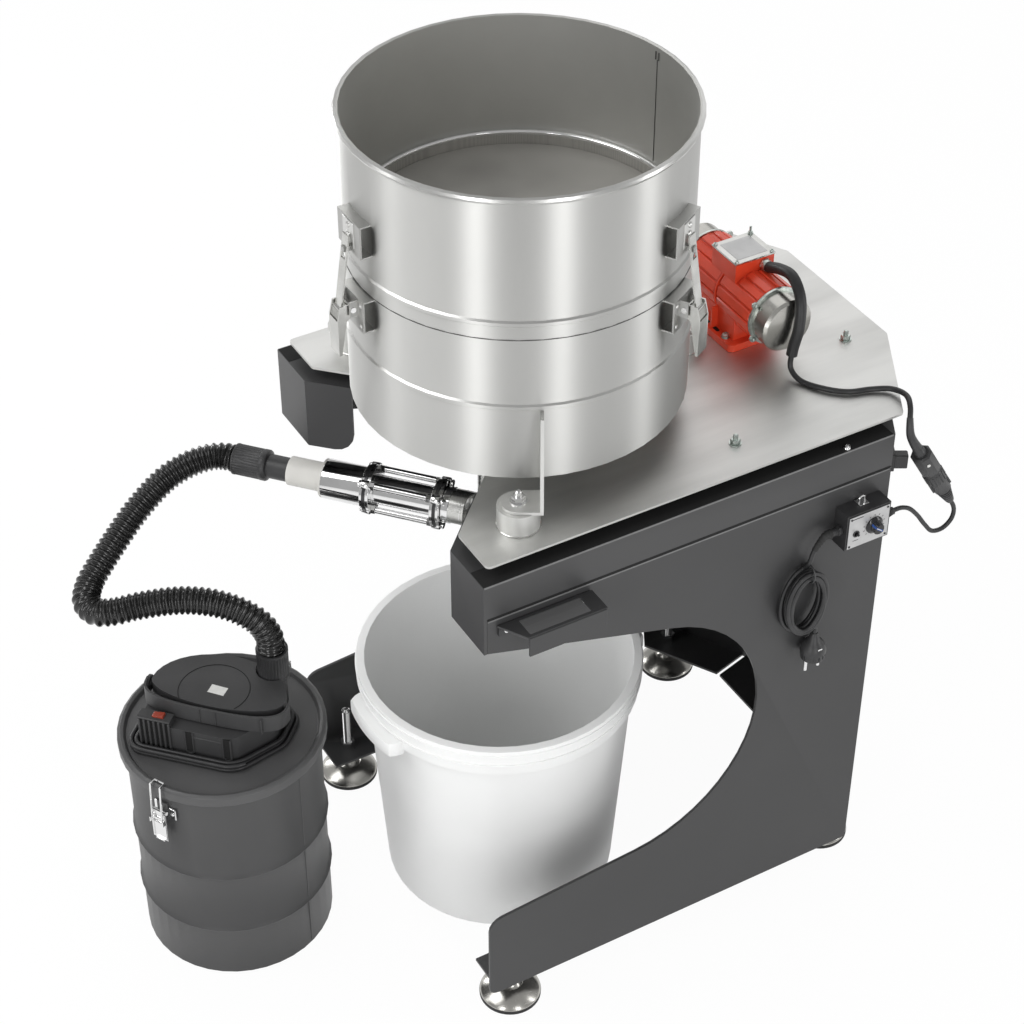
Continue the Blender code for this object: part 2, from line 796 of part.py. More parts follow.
def bracket(i, angle):
    """One welded bracket: a radial fin and a foot bent off it onto the support pad."""
    foot_low = DECK_TOP + PAD_HEIGHT + GAP
    foot_high = foot_low + BRACKET_SHEET
    inner = math.sqrt(DRUM_RADIUS**2 - (BRACKET_OFFSET - BRACKET_SHEET / 2) ** 2) + GAP * 2
    fin_outline = [
        (inner, foot_low),
        (BRACKET_REACH, foot_low),
        (BRACKET_REACH, foot_high + BRACKET_SHEET * 2),
        (BRACKET_TOP_REACH, BRACKET_TOP),
        (inner, BRACKET_TOP),
    ]
    fin = front_sheet(
        f"support_bracket_{i + 1}",
        fin_outline,
        BRACKET_OFFSET - BRACKET_SHEET / 2,
        BRACKET_OFFSET + BRACKET_SHEET / 2,
    )
    half = BRACKET_FOOT_HALF
    foot_outline = [(PAD_CIRCLE + half, BRACKET_OFFSET), (PAD_CIRCLE - half, BRACKET_OFFSET)]
    foot_outline += arc((PAD_CIRCLE, 0), half, math.pi, 2 * math.pi, 8)
    foot = slab(f"bracket_foot_{i + 1}", foot_outline, foot_low, foot_high)
    turn = Matrix.Rotation(math.radians(angle), 4, "Z")
    for piece in (fin, foot):
        piece.data.transform(turn)
    return combine(fin, [foot])


def build_pan():
    wall_in = DRUM_RADIUS - DRUM_WALL
    outlet_in = OUTLET_RADIUS - DRUM_WALL
    ledge_top = SEAM_HEIGHT - LEDGE_DROP
    profile = [
        (wall_in, SEAM_HEIGHT - GAP),
        (DRUM_RADIUS, SEAM_HEIGHT - GAP),
        *bead(PAN_BEAD_HEIGHT, BEAD_STAND, BEAD_HALF),
        (DRUM_RADIUS, PAN_BOTTOM),
        (wall_in, PAN_BOTTOM),
        (wall_in, CONE_TOP - DRUM_WALL),
        (outlet_in, CONE_FOOT - DRUM_WALL),
        (outlet_in, CONE_FOOT),
        (wall_in, CONE_TOP),
        (wall_in, ledge_top - LEDGE_THICK),
        (wall_in - LEDGE_DEPTH, ledge_top - LEDGE_THICK),
        (wall_in - LEDGE_DEPTH, ledge_top),
        (wall_in, ledge_top),
    ]
    pan = turned("lower_pan", profile, closed=True)
    outer = DRUM_RADIUS + BOX_DEPTH
    for i, angle in enumerate(LATCH_ANGLES):
        turn = math.radians(angle)
        combine(pan, latch_box(f"latch_box_{i + 1}", PAN_BOX_HEIGHT, turn))
        for side in (-1, 1):
            inside, outside = sorted((side * EAR_INSIDE, side * (EAR_INSIDE + EAR_THICK)))
            ear = box(
                f"latch_ear_{i + 1}_{side}",
                (outer - BOX_SHEET / 2, inside, LEVER_PIVOT_HEIGHT - EAR_HEIGHT / 2),
                (outer + EAR_REACH, outside, LEVER_PIVOT_HEIGHT + EAR_HEIGHT / 2),
            )
            ear.data.transform(Matrix.Rotation(turn, 4, "Z"))
            combine(pan, [ear])
    finish(pan, "stainless", sieve_axis)


def build_outlet():
    """The pipe welded under the pan's cone, with the branch that the suction pipe bolts to."""
    inner, top = OUTLET_RADIUS - DRUM_WALL, CONE_FOOT - DRUM_WALL - GAP
    profile = [(inner, top), (OUTLET_RADIUS, top), (OUTLET_RADIUS, OUTLET_BOTTOM), (inner, OUTLET_BOTTOM)]
    outlet = turned("outlet_pipe", profile, closed=True)
    turn = Matrix.Rotation(math.radians(PIPE_ANGLE), 4, "Z")
    branch = rod("branch", (OUTLET_RADIUS * 0.7, 0, PIPE_HEIGHT), (BRANCH_END, 0, PIPE_HEIGHT), BRANCH_RADIUS)
    bore = rod(
        "branch_bore", (0, 0, PIPE_HEIGHT), (BRANCH_END + OVERRUN, 0, PIPE_HEIGHT), BRANCH_RADIUS - PIPE_WALL
    )
    throat_radius = OUTLET_RADIUS - DRUM_WALL / 2
    throat = rod("throat", (0, 0, OUTLET_BOTTOM), (0, 0, CONE_FOOT), throat_radius, ROUND_SIDES)
    for piece in (branch, bore):
        piece.data.transform(turn)
    combine(branch, [throat], "DIFFERENCE")
    combine(outlet, [branch])
    combine(outlet, [bore], "DIFFERENCE")
    finish(outlet, "stainless", sieve_axis)


def build_brackets():
    for i, angle in enumerate(SUPPORT_ANGLES):
        finish(bracket(i, angle), "stainless", sieve_axis)


def build_screen():
    wall_in = DRUM_RADIUS - DRUM_WALL
    seat = SEAM_HEIGHT - LEDGE_DROP + GAP
    outer = wall_in - GAP
    inner = outer - GASKET_THICK
    mesh_low = seat + MESH_RISE
    profile = [(inner, seat + GASKET_HEIGHT), (outer, seat + GASKET_HEIGHT), (outer, seat), (inner, seat)]
    finish(turned("screen_gasket", profile, closed=True), "stainless", sieve_axis)
    disc = rod("sieve_mesh", (0, 0, mesh_low), (0, 0, mesh_low + MESH_THICK), inner - GAP, ROUND_SIDES)
    finish(disc, "wire_mesh", sieve_axis)


def latch_lever(i, hub):
    """The toggle's lever: two cheeks, a plate between them and a pivot pin. Out is +X; it hangs down at rest."""
    out, height = DRUM_RADIUS + LEVER_PIVOT_OUT, LEVER_PIVOT_HEIGHT
    depth, length = LEVER_DEPTH, LEVER_LENGTH
    cheek = [
        (out - depth * 0.25, height + depth * 0.25),
        (out + depth * 0.75, height + depth * 0.25),
        (out + depth, height - depth * 0.8),
        (out + depth, height - length),
        (out + depth * 0.8, height - length),
        (out + depth * 0.35, height - depth),
        (out - depth * 0.25, height - depth * 0.4),
    ]
    half, thick = LEVER_HALF_WIDTH, LEVER_SHEET
    lever = front_sheet(f"latch_lever_{i}", cheek, half - thick, half)
    other = front_sheet(f"lever_cheek_{i}", cheek, -half, thick - half)
    plate = box(
        f"lever_plate_{i}",
        (out + depth - thick, -half, height - length),
        (out + depth, half, height - depth * 0.85),
    )
    pin_end = EAR_INSIDE - GAP
    pin = rod(f"lever_pin_{i}", (out, -pin_end, height), (out, pin_end, height), LEVER_PIN_RADIUS, 10)
    combine(lever, [other, plate, pin])
    return finish(lever, "stainless", hub, origin=(out, 0, height))


def latch_bail(i, hub):
    """The toggle's strap: an eye in the lever, a plate that leans in to the keeper, and its window."""
    eye = Vector((DRUM_RADIUS + BAIL_PIVOT_OUT, 0, LEVER_PIVOT_HEIGHT - BAIL_PIVOT_DROP))
    top = Vector((DRUM_RADIUS + BAIL_TOP_OUT, 0, BAIL_TOP_HEIGHT))
    lean = math.atan2(eye.x - top.x, top.z - eye.z)
    length = (top - eye).length
    half = BAIL_HALF_WIDTH
    strap = box(f"latch_bail_{i}", (-BAIL_SHEET / 2, -half, 0), (BAIL_SHEET / 2, half, length))
    window_top = (KEEPER_HEIGHT + GAP - eye.z) / math.cos(lean)
    window = box(
        f"bail_window_{i}",
        (-OVERRUN, -WINDOW_HALF, window_top - WINDOW_TALL),
        (OVERRUN, WINDOW_HALF, window_top),
    )
    reach = LEVER_HALF_WIDTH - LEVER_SHEET - GAP
    barrel = rod(f"bail_eye_{i}", (0, -reach, 0), (0, reach, 0), BAIL_EYE_RADIUS, 12)
    combine(strap, [barrel])
    combine(strap, [window], "DIFFERENCE")
    tilt = Matrix.Rotation(-lean, 4, "Y")
    for piece in (strap, barrel, window):
        piece.data.transform(tilt)
    strap = finish(strap, "stainless", hub)
    strap.location = eye
    return strap


def build_latches():
    for i, angle in enumerate(LATCH_ANGLES):
        hub = empty(f"latch_hub_{i + 1}", (0, 0, 0), math.radians(angle), sieve_axis)
        latch_lever(i + 1, hub)
        latch_bail(i + 1, hub)


def build_deck():
    half = [
        (NOTCH_HALF, -NOTCH_HALF, CORNER_ROUND),
        (PRONG_INNER, -PRONG_INNER, 0),
        (PRONG_INNER + CORNER_ROUND / 2, -DECK_FRONT, 0),
        (DECK_HALF_WIDTH, -DECK_FRONT, CORNER_ROUND),
        (DECK_HALF_WIDTH, DECK_SHOULDER, CORNER_ROUND),
        (DECK_REAR_HALF, DECK_REAR, CORNER_ROUND),
    ]
    notch = [(-NOTCH_HALF, NOTCH_REAR, CORNER_ROUND), (NOTCH_HALF, NOTCH_REAR, CORNER_ROUND)]
    outline = rounded(mirrored(half) + notch)
    deck = slab("deck_plate", outline, DECK_TOP - DECK_THICK, DECK_TOP)
    for i, angle in enumerate(SUPPORT_ANGLES):
        turn = math.radians(angle)
        place = Vector((PAD_CIRCLE * math.cos(turn), PAD_CIRCLE * math.sin(turn), DECK_TOP - DECK_THICK / 2))
        top = Vector((place.x, place.y, DECK_TOP + PAD_HEIGHT))
        combine(deck, [rod(f"support_pad_{i + 1}", place, top, PAD_RADIUS, 28)])
    finish(deck, "stainless", sieve_axis)
    low, high = FRAME_TOP + GAP, DECK_TOP - DECK_THICK - GAP
    for place, x, y in BUFFER_PLACES:
        for side, sign in (("right", 1), ("left", -1)):
            name = f"buffer_{place}_{side}"
            block = rod(name, (sign * x, y, low), (sign * x, y, high), BUFFER_RADIUS, BUFFER_SIDES)
            finish(block, "rubber", sieve_axis)


def stand_path():
    """The stand's outside in plan, from its right front corner round the back to its left front corner."""
    right = [
        (STAND_HALF_WIDTH, SHEET + GAP - STAND_FRONT),
        (STAND_HALF_WIDTH, STAND_SHOULDER),
        (STAND_REAR_HALF, STAND_REAR),
    ]
    return right + [(-x, y) for x, y in reversed(right)]


def inset_path(path, width):
    """The path moved inwards by a width, mitred at its corners."""
    points = [Vector(p) for p in path]
    lines = []
    for a, b in zip(points, points[1:]):
        along = (b - a).normalized()
        inward = Vector((-along.y, along.x))
        lines.append((a + inward * width, along))
    moved = [lines[0][0]]
    for (a, u), (b, v) in zip(lines, lines[1:]):
        across = u.x * v.y - u.y * v.x
        moved.append(a + u * ((b - a).x * v.y - (b - a).y * v.x) / across)
    last, along = lines[-1]
    moved.append(last + along * (points[-1] - points[-2]).length)
    return moved


def flange(name, segment):
    """The bottom flange under one wall of the stand, with a relief slit at each fold."""
    path = stand_path()
    inner = inset_path(path, FLANGE_WIDTH)
    outer = inset_path(path, SHEET / 2)
    a, b = Vector(outer[segment]), Vector(outer[segment + 1])
    c, d = Vector(inner[segment + 1]), Vector(inner[segment])
    along = (b - a).normalized()
    first = FLANGE_SLIT if segment > 0 else PANEL_ROUND
    last = FLANGE_SLIT if segment < len(path) - 2 else PANEL_ROUND
    a, d = a + along * first, d + along * first
    b, c = b - along * last, c - along * last
    low = PANEL_BOTTOM + SHEET / 20
    return slab(name, [a, b, c, d], low, low + SHEET)


def build_side_panels():
    front = SHEET + GAP - STAND_FRONT
    top = FRAME_TOP - FRAME_SKIRT - SHADOW_GAP
    centre = (ARC_BACK, ARC_HEIGHT)
    upper = tangent_point((front, MOUTH_TOP), centre, ARC_RADIUS, -1)
    lower = tangent_point((front, LEG_TOP), centre, ARC_RADIUS, 1)
    mouth = arc(centre, ARC_RADIUS, upper, lower, 22)
    outline = rounded(
        [
            (front, LEG_TOP, LEG_ROUND),
            (front, PANEL_BOTTOM, PANEL_ROUND),
            (STAND_SHOULDER, PANEL_BOTTOM, 0),
            (STAND_SHOULDER, top, 0),
            (front, top, 0),
            (front, MOUTH_TOP, 0),
        ]
        + [(y, z, 0) for y, z in mouth]
    )
    for side, sign, segment in (("right", 1, 0), ("left", -1, 4)):
        edges = sorted((sign * STAND_HALF_WIDTH, sign * (STAND_HALF_WIDTH - SHEET)))
        panel = side_sheet(f"side_panel_{side}", outline, *edges)
        combine(panel, [flange(f"side_flange_{side}", segment)])
        finish(panel, "black_paint", sieve_axis)


def build_rear_panel():
    path = [Vector(p) for p in stand_path()[1:-1]]
    along = (path[1] - path[0]).normalized() * SHEET
    path[0] = path[0] + along
    path[-1] = path[-1] + Vector((-along.x, along.y))
    inner = inset_path(path, SHEET)
    top = FRAME_TOP - FRAME_SKIRT - SHADOW_GAP
    panel = slab("rear_panel", path + inner[::-1], PANEL_BOTTOM, top)
    combine(panel, [flange(f"rear_flange_{i}", i) for i in (1, 2, 3)])
    finish(panel, "black_paint", sieve_axis)


def build_top_frame():
    low = FRAME_TOP - FRAME_SKIRT
    right = [
        (STAND_HALF_WIDTH, -STAND_FRONT),
        (STAND_HALF_WIDTH, STAND_SHOULDER),
        (STAND_REAR_HALF, STAND_REAR),
    ]
    path = right + [(-x, y) for x, y in reversed(right)]
    reach = ARM_INNER - WELL_HALF_WIDTH
    arm = [(WELL_HALF_WIDTH, reach - STAND_FRONT), (ARM_INNER, -STAND_FRONT)]
    well = [(-WELL_HALF_WIDTH, WELL_REAR), (WELL_HALF_WIDTH, WELL_REAR)]
    outline = arm + path + [(-x, y) for x, y in reversed(arm)] + well
    frame = slab("top_frame", outline, FRAME_TOP - SHEET, FRAME_TOP)
    skirt = slab("frame_skirt", path + inset_path(path, SHEET)[::-1], low, FRAME_TOP)
    pieces = [skirt]
    foot = FRAME_TOP - ARM_DEPTH
    cheek = rounded(
        [
            (0, foot, 0),
            (CHEEK_LENGTH, foot, CHEEK_ROUND),
            (CHEEK_LENGTH, FRAME_TOP - SHEET / 2, 0),
            (0, FRAME_TOP - SHEET / 2, 0),
        ]
    )
    for side, sign in (("right", 1), ("left", -1)):
        ends = sorted((sign * ARM_INNER, sign * STAND_HALF_WIDTH))
        pieces.append(
            box(f"arm_end_{side}", (ends[0], -STAND_FRONT, foot), (ends[1], SHEET - STAND_FRONT, FRAME_TOP))
        )
        wall = front_sheet(f"arm_cheek_{side}", cheek, -SHEET, 0)
        if sign < 0:
            wall.data.transform(Matrix.Rotation(math.pi / 4, 4, "Z"))
        else:
            wall.data.transform(Matrix.Translation((0, SHEET, 0)))
            wall.data.transform(Matrix.Rotation(math.pi * 3 / 4, 4, "Z"))
        wall.data.transform(Matrix.Translation((sign * ARM_INNER, -STAND_FRONT, 0)))
        if sign < 0:
            wall.data.transform(Matrix.Translation((-SHEET * 0.7, SHEET * 0.7, 0)))
        else:
            wall.data.transform(Matrix.Translation((SHEET * 0.7, SHEET * 0.7, 0)))
        pieces.append(wall)
    combine(frame, pieces)
    finish(frame, "black_paint", sieve_axis)


def build_handles():
    """A folded channel: a top plate with a finger opening, a front plate and a mounting flange."""
    wall = STAND_HALF_WIDTH + GAP
    face = STAND_HALF_WIDTH + HANDLE_REACH
    start, end = -HANDLE_FRONT, HANDLE_LENGTH - HANDLE_FRONT
    chamfer = HANDLE_CHAMFER
    fold = HANDLE_SHEET / 2
    low = HANDLE_TOP - HANDLE_HEIGHT
    for side, sign in (("right", 1), ("left", -1)):
        outline = [
            (sign * (wall + fold), start),
            (sign * (face - fold), start + chamfer),
            (sign * (face - fold), end),
            (sign * (wall + fold), end),
        ]
        top = slab(f"handle_{side}", outline, HANDLE_TOP - HANDLE_SHEET, HANDLE_TOP)
        fronts = sorted((sign * (face - HANDLE_SHEET), sign * face))
        plate = box(
            f"handle_front_{side}",
            (fronts[0], start + chamfer + fold, low),
            (fronts[1], end - fold, HANDLE_TOP - fold),
        )
        backs = sorted((sign * wall, sign * (wall + HANDLE_SHEET)))
        flange_plate = box(
            f"handle_flange_{side}",
            (backs[0], start + fold, HANDLE_TOP - HANDLE_FLANGE),
            (backs[1], end - fold, HANDLE_TOP - fold),
        )
        opening_x = sorted((sign * (wall + HANDLE_SHEET * 2), sign * (face - HANDLE_SHEET * 2)))
        opening = box(
            f"handle_opening_{side}",
            (opening_x[0], start + GRIP_INSET * 1.4, low),
            (opening_x[1], end - GRIP_INSET, HANDLE_TOP + OVERRUN),
        )
        combine(top, [opening], "DIFFERENCE")
        combine(top, [plate, flange_plate])
        finish(top, "black_paint", sieve_axis)


def build_feet():
    dome = FOOT_RUBBER + FOOT_DOME
    nut_low = PANEL_BOTTOM + SHEET + GAP
    profile = [
        (0, SPINDLE_TOP),
        (SPINDLE_RADIUS, SPINDLE_TOP),
        (SPINDLE_RADIUS, nut_low + FOOT_NUT_HEIGHT),
        (FOOT_NUT_RADIUS, nut_low + FOOT_NUT_HEIGHT),
        (FOOT_NUT_RADIUS, nut_low),
        (SPINDLE_RADIUS, nut_low),
        (SPINDLE_RADIUS, PANEL_BOTTOM - GAP),
        (FOOT_NUT_RADIUS, PANEL_BOTTOM - GAP),
        (FOOT_NUT_RADIUS, PANEL_BOTTOM - GAP - FOOT_NUT_HEIGHT * 0.8),
        (FOOT_NECK, dome),
        (FOOT_RADIUS * 0.45, FOOT_RUBBER + FOOT_DOME * 0.75),
        (FOOT_RADIUS * 0.80, FOOT_RUBBER + FOOT_DOME * 0.40),
        (FOOT_RADIUS, FOOT_RUBBER),
        (FOOT_RADIUS * 0.97, 0),
        (0, 0),
    ]
    places = (
        ("front_right", FRONT_FOOT_X, FRONT_FOOT_Y),
        ("front_left", -FRONT_FOOT_X, FRONT_FOOT_Y),
        ("rear_right", REAR_FOOT_X, REAR_FOOT_Y),
        ("rear_left", -REAR_FOOT_X, REAR_FOOT_Y),
    )
    hole_radius = SPINDLE_RADIUS + SHAFT_CLEARANCE
    for name, x, y in places:
        foot = turned(f"foot_{name}", profile, closed=False, sides=24)
        foot = finish(foot, "chrome", sieve_axis)
        foot.location = (x, y, 0)
        hole_low, hole_high = (x, y, PANEL_BOTTOM - OVERRUN), (x, y, nut_low + OVERRUN)
        hole = rod(f"foot_hole_{name}", hole_low, hole_high, hole_radius)
        carrier = bpy.data.objects["rear_panel" if "rear" in name else f"side_panel_{name.split('_')[1]}"]
        combine(carrier, [hole], "DIFFERENCE")
        hole.parent = carrier


def build_motor():
    axis = Vector((0, MOTOR_BACK, MOTOR_HEIGHT))
    floor = DECK_TOP + GAP
    housing = rod(
        "motor_housing",
        axis - Vector((MOTOR_HALF, 0, 0)),
        axis + Vector((MOTOR_HALF, 0, 0)),
        MOTOR_RADIUS,
        32,
    )
    base = box(
        "motor_base",
        (-MOTOR_BASE_HALF_X, MOTOR_BACK - MOTOR_BASE_HALF_Y, floor),
        (MOTOR_BASE_HALF_X, MOTOR_BACK + MOTOR_BASE_HALF_Y, MOTOR_HEIGHT),
    )
    foot = slab(
        "motor_foot",
        rounded(
            mirrored(
                [
                    (MOTOR_FOOT_HALF_X, MOTOR_BACK - MOTOR_FOOT_HALF_Y, CAP_ROUND),
                    (MOTOR_FOOT_HALF_X, MOTOR_BACK + MOTOR_FOOT_HALF_Y, CAP_ROUND),
                ]
            )
        ),
        floor,
        floor + MOTOR_FOOT_THICK,
    )
    terminal = box(
        "terminal_box",
        (-TERMINAL_HALF_X, MOTOR_BACK - TERMINAL_HALF_Y, MOTOR_HEIGHT),
        (TERMINAL_HALF_X, MOTOR_BACK + TERMINAL_HALF_Y, MOTOR_HEIGHT + TERMINAL_RISE),
    )
    bore = rod(
        "shaft_bore",
        axis - Vector((MOTOR_HALF + OVERRUN, 0, 0)),
        axis + Vector((MOTOR_HALF + OVERRUN, 0, 0)),
        SHAFT_RADIUS + SHAFT_CLEARANCE,
        16,
    )
    combine(housing, [base, foot, terminal])
    combine(housing, [bore], "DIFFERENCE")
    finish(housing, "red_paint", sieve_axis)
    lid_low = MOTOR_HEIGHT + TERMINAL_RISE + GAP
    lid = box(
        "terminal_lid",
        (-TERMINAL_HALF_X - FACE_THICK, MOTOR_BACK - TERMINAL_HALF_Y - FACE_THICK, lid_low),
        (TERMINAL_HALF_X + FACE_THICK, MOTOR_BACK + TERMINAL_HALF_Y + FACE_THICK, lid_low + LID_THICK),
    )
    finish(lid, "stainless", sieve_axis)
    build_motor_caps(axis)
    build_rotor(axis)


def build_motor_caps(axis):
    inner, end = CAP_RADIUS - CAP_WALL, CAP_LENGTH
    profile = [
        (0, end),
        (CAP_RADIUS * 0.55, end - CAP_ROUND * 0.15),
        (CAP_RADIUS - CAP_ROUND * 0.4, end - CAP_ROUND * 0.55),
        (CAP_RADIUS, end - CAP_ROUND),
        (CAP_RADIUS, GAP),
        (inner, GAP),
        (inner, end - CAP_ROUND - CAP_WALL),
        (CAP_RADIUS * 0.55, end - CAP_ROUND * 0.15 - CAP_WALL * 2),
        (0, end - CAP_WALL * 2),
    ]
    for side, sign in (("right", 1), ("left", -1)):
        cap = turned(f"motor_cap_{side}", profile, closed=False, sides=32)
        cap = finish(cap, "stainless", sieve_axis)
        cap.rotation_euler = (0, sign * math.pi / 2, 0)
        cap.location = axis + Vector((sign * MOTOR_HALF, 0, 0))


def build_rotor(axis):
    reach = Vector((SHAFT_HALF, 0, 0))
    shaft = rod("motor_rotor", axis - reach, axis + reach, SHAFT_RADIUS, 12)
    weights = []
    for side, sign in (("right", 1), ("left", -1)):
        outline = arc((axis.y, axis.z), WEIGHT_RADIUS, math.pi, 2 * math.pi, 10)
        outline += arc((axis.y, axis.z), WEIGHT_HUB, 0, math.pi, 6)
        ends = sorted((sign * (WEIGHT_PLACE - WEIGHT_THICK / 2), sign * (WEIGHT_PLACE + WEIGHT_THICK / 2)))
        weights.append(side_sheet(f"rotor_weight_{side}", outline, *ends))
    combine(shaft, weights)
    finish(shaft, "stainless", sieve_axis, origin=axis)


def build_controller():
    wall = STAND_HALF_WIDTH + GAP
    front_x = STAND_HALF_WIDTH + CONTROL_DEPTH
    start, end = CONTROL_FRONT, CONTROL_FRONT + CONTROL_LENGTH
    low, high = CONTROL_BOTTOM, CONTROL_BOTTOM + CONTROL_HEIGHT
    body = box("control_box", (wall, start, low), (front_x, end, high))
    stand = STAND_HALF_WIDTH + GLAND_STAND
    motor_gland = rod(
        "motor_gland",
        (stand, end - FACE_INSET, low + MOTOR_GLAND_RISE),
        (stand, end + GLAND_LENGTH, low + MOTOR_GLAND_RISE),
        GLAND_RADIUS,
        12,
    )
    mains_gland = rod(
        "mains_gland",
        (stand, start + FACE_INSET, low + MAINS_GLAND_RISE),
        (stand, start - GLAND_LENGTH, low + MAINS_GLAND_RISE),
        GLAND_RADIUS,
        12,
    )
    combine(body, [motor_gland, mains_gland])
    face_x = front_x + FACE_THICK
    toggle_y, toggle_z = TOGGLE_PLACE
    wide, tall = TOGGLE_HALF_Y + TOGGLE_CLEARANCE, TOGGLE_HALF_Z + TOGGLE_CLEARANCE
    well = box(
        "toggle_well",
        (front_x - TOGGLE_WELL, toggle_y - wide, toggle_z - tall),
        (face_x + OVERRUN, toggle_y + wide, toggle_z + tall),
    )
    plate = box(
        "face_plate",
        (front_x - GAP, start + FACE_INSET, low + FACE_INSET),
        (face_x, end - FACE_INSET, high - FACE_INSET),
    )
    combine(body, [plate])
    combine(body, [well], "DIFFERENCE")
    finish(body, "black_plastic", sieve_axis)
    knob_y, knob_z = KNOB_PLACE
    tip = STAND_HALF_WIDTH + HANDLE_REACH
    skirt_end = (face_x + KNOB_REACH * 0.3, knob_y, knob_z)
    skirt = rod("speed_knob", (face_x + GAP, knob_y, knob_z), skirt_end, KNOB_SKIRT, 24)
    grip = rod(
        "knob_grip",
        (face_x + KNOB_REACH * 0.2, knob_y, knob_z),
        (tip, knob_y, knob_z),
        KNOB_RADIUS,
        24,
        KNOB_RADIUS * 0.9,
    )
    combine(skirt, [grip])
    finish(skirt, "blue_plastic", sieve_axis, origin=(face_x, knob_y, knob_z))
    pivot_x = front_x - TOGGLE_WELL / 2
    tip_x = face_x + TOGGLE_REACH
    outline = [
        (toggle_y - TOGGLE_HALF_Y, toggle_z - TOGGLE_HALF_Z),
        (toggle_y + TOGGLE_HALF_Y, toggle_z - TOGGLE_HALF_Z),
        (toggle_y + TOGGLE_HALF_Y, toggle_z + TOGGLE_HALF_Z),
        (toggle_y - TOGGLE_HALF_Y, toggle_z + TOGGLE_HALF_Z),
    ]
    rocker = side_sheet("toggle_switch", outline, pivot_x - TOGGLE_WELL / 4, tip_x)
    finish(rocker, "black_plastic", sieve_axis, origin=(pivot_x, toggle_y, toggle_z))
    rocker.rotation_euler = (0, math.radians(-ROCKER_TILT), 0)


def build_mains():
    """The mains lead: its run from the controller, its hank, and its moulded plug that hangs below."""
    stand = STAND_HALF_WIDTH + HANK_STAND
    half_run = (HANK_HEIGHT - HANK_WIDTH) / 2
    outer, inner = HANK_WIDTH / 2, HANK_BORE / 2

    def loop(radius, steps):
        top = arc((HANK_BACK, HANK_MIDDLE + half_run), radius, 0, math.pi, steps)
        return top + arc((HANK_BACK, HANK_MIDDLE - half_run), radius, math.pi, 2 * math.pi, steps)

    hank = side_sheet("mains_lead", loop(outer, 12), stand, stand + HANK_THICK)
    eye = side_sheet("hank_eye", loop(inner, 8), stand - OVERRUN, stand + HANK_THICK + OVERRUN)
    combine(hank, [eye], "DIFFERENCE")
    run = round_curve("mains_run", smooth_route(MAINS_ROUTE, MAINS_RADIUS * 5), MAINS_RADIUS, 2)
    run = baked(new_object("mains_run", run))
    centre_x = STAND_HALF_WIDTH + PLUG_STAND
    top = PLUG_TOP
    body_top = top - PLUG_NECK_LENGTH
    body_low = body_top - PLUG_LENGTH
    plug = rod("plug_body", (centre_x, PLUG_BACK, body_low), (centre_x, PLUG_BACK, body_top), PLUG_RADIUS, 20)
    neck = rod(
        "plug_neck",
        (centre_x, PLUG_BACK, body_top - OVERRUN),
        (centre_x, PLUG_BACK, top),
        PLUG_RADIUS * 0.6,
        12,
        PLUG_NECK,
    )
    pins = [
        rod(
            f"plug_pin_{i}",
            (centre_x, PLUG_BACK + i * PLUG_PIN_SPREAD, body_low + OVERRUN),
            (centre_x, PLUG_BACK + i * PLUG_PIN_SPREAD, body_low - PLUG_PIN_LENGTH),
            PLUG_PIN_RADIUS,
            10,
        )
        for i in (-1, 1)
    ]
    combine(hank, [run, plug, neck, *pins])
    finish(hank, "cable_black", sieve_axis)


def build_cables():
    cord("motor_cable", MOTOR_CABLE_ROUTE, CABLE_RADIUS, "cable_black", 2.2)
    cord("control_cable", CONTROL_CABLE_ROUTE, CABLE_RADIUS, "cable_black", 2.0)
    start = Vector(MOTOR_CABLE_ROUTE[-1])
    end = Vector(CONTROL_CABLE_ROUTE[0])
    along = (end - start).normalized()
    start, end = start + along * GAP, end - along * GAP
    middle = start.lerp(end, 0.5)
    body = rod("cable_connector", start.lerp(end, 0.18), start.lerp(end, 0.86), CONNECTOR_RADIUS, 16)
    upper = rod("connector_boot", start, start.lerp(end, 0.22), CONNECTOR_NECK, 12, CONNECTOR_RADIUS * 0.9)
    lower = rod("connector_tail", start.lerp(end, 0.82), end, CONNECTOR_RADIUS * 0.9, 12, CONNECTOR_NECK)
    collar = rod("connector_collar", middle, start.lerp(end, 0.56), CONNECTOR_RADIUS * 1.15, 16)
    combine(body, [upper, lower, collar])
    finish(body, "rubber", sieve_axis)


def pipe_piece(name, profile, material, others=(), sides=28):
    """A turned piece on the suction pipe's axis. Its profile's heights run away from the sieve."""
    piece = turned(name, profile, closed=True, sides=sides)
    combine(piece, others)
    finish(piece, material, sieve_axis)
    turn = math.radians(PIPE_ANGLE)
    piece.rotation_euler = (0, math.pi / 2, turn)
    piece.location = (0, 0, PIPE_HEIGHT)
    return piece


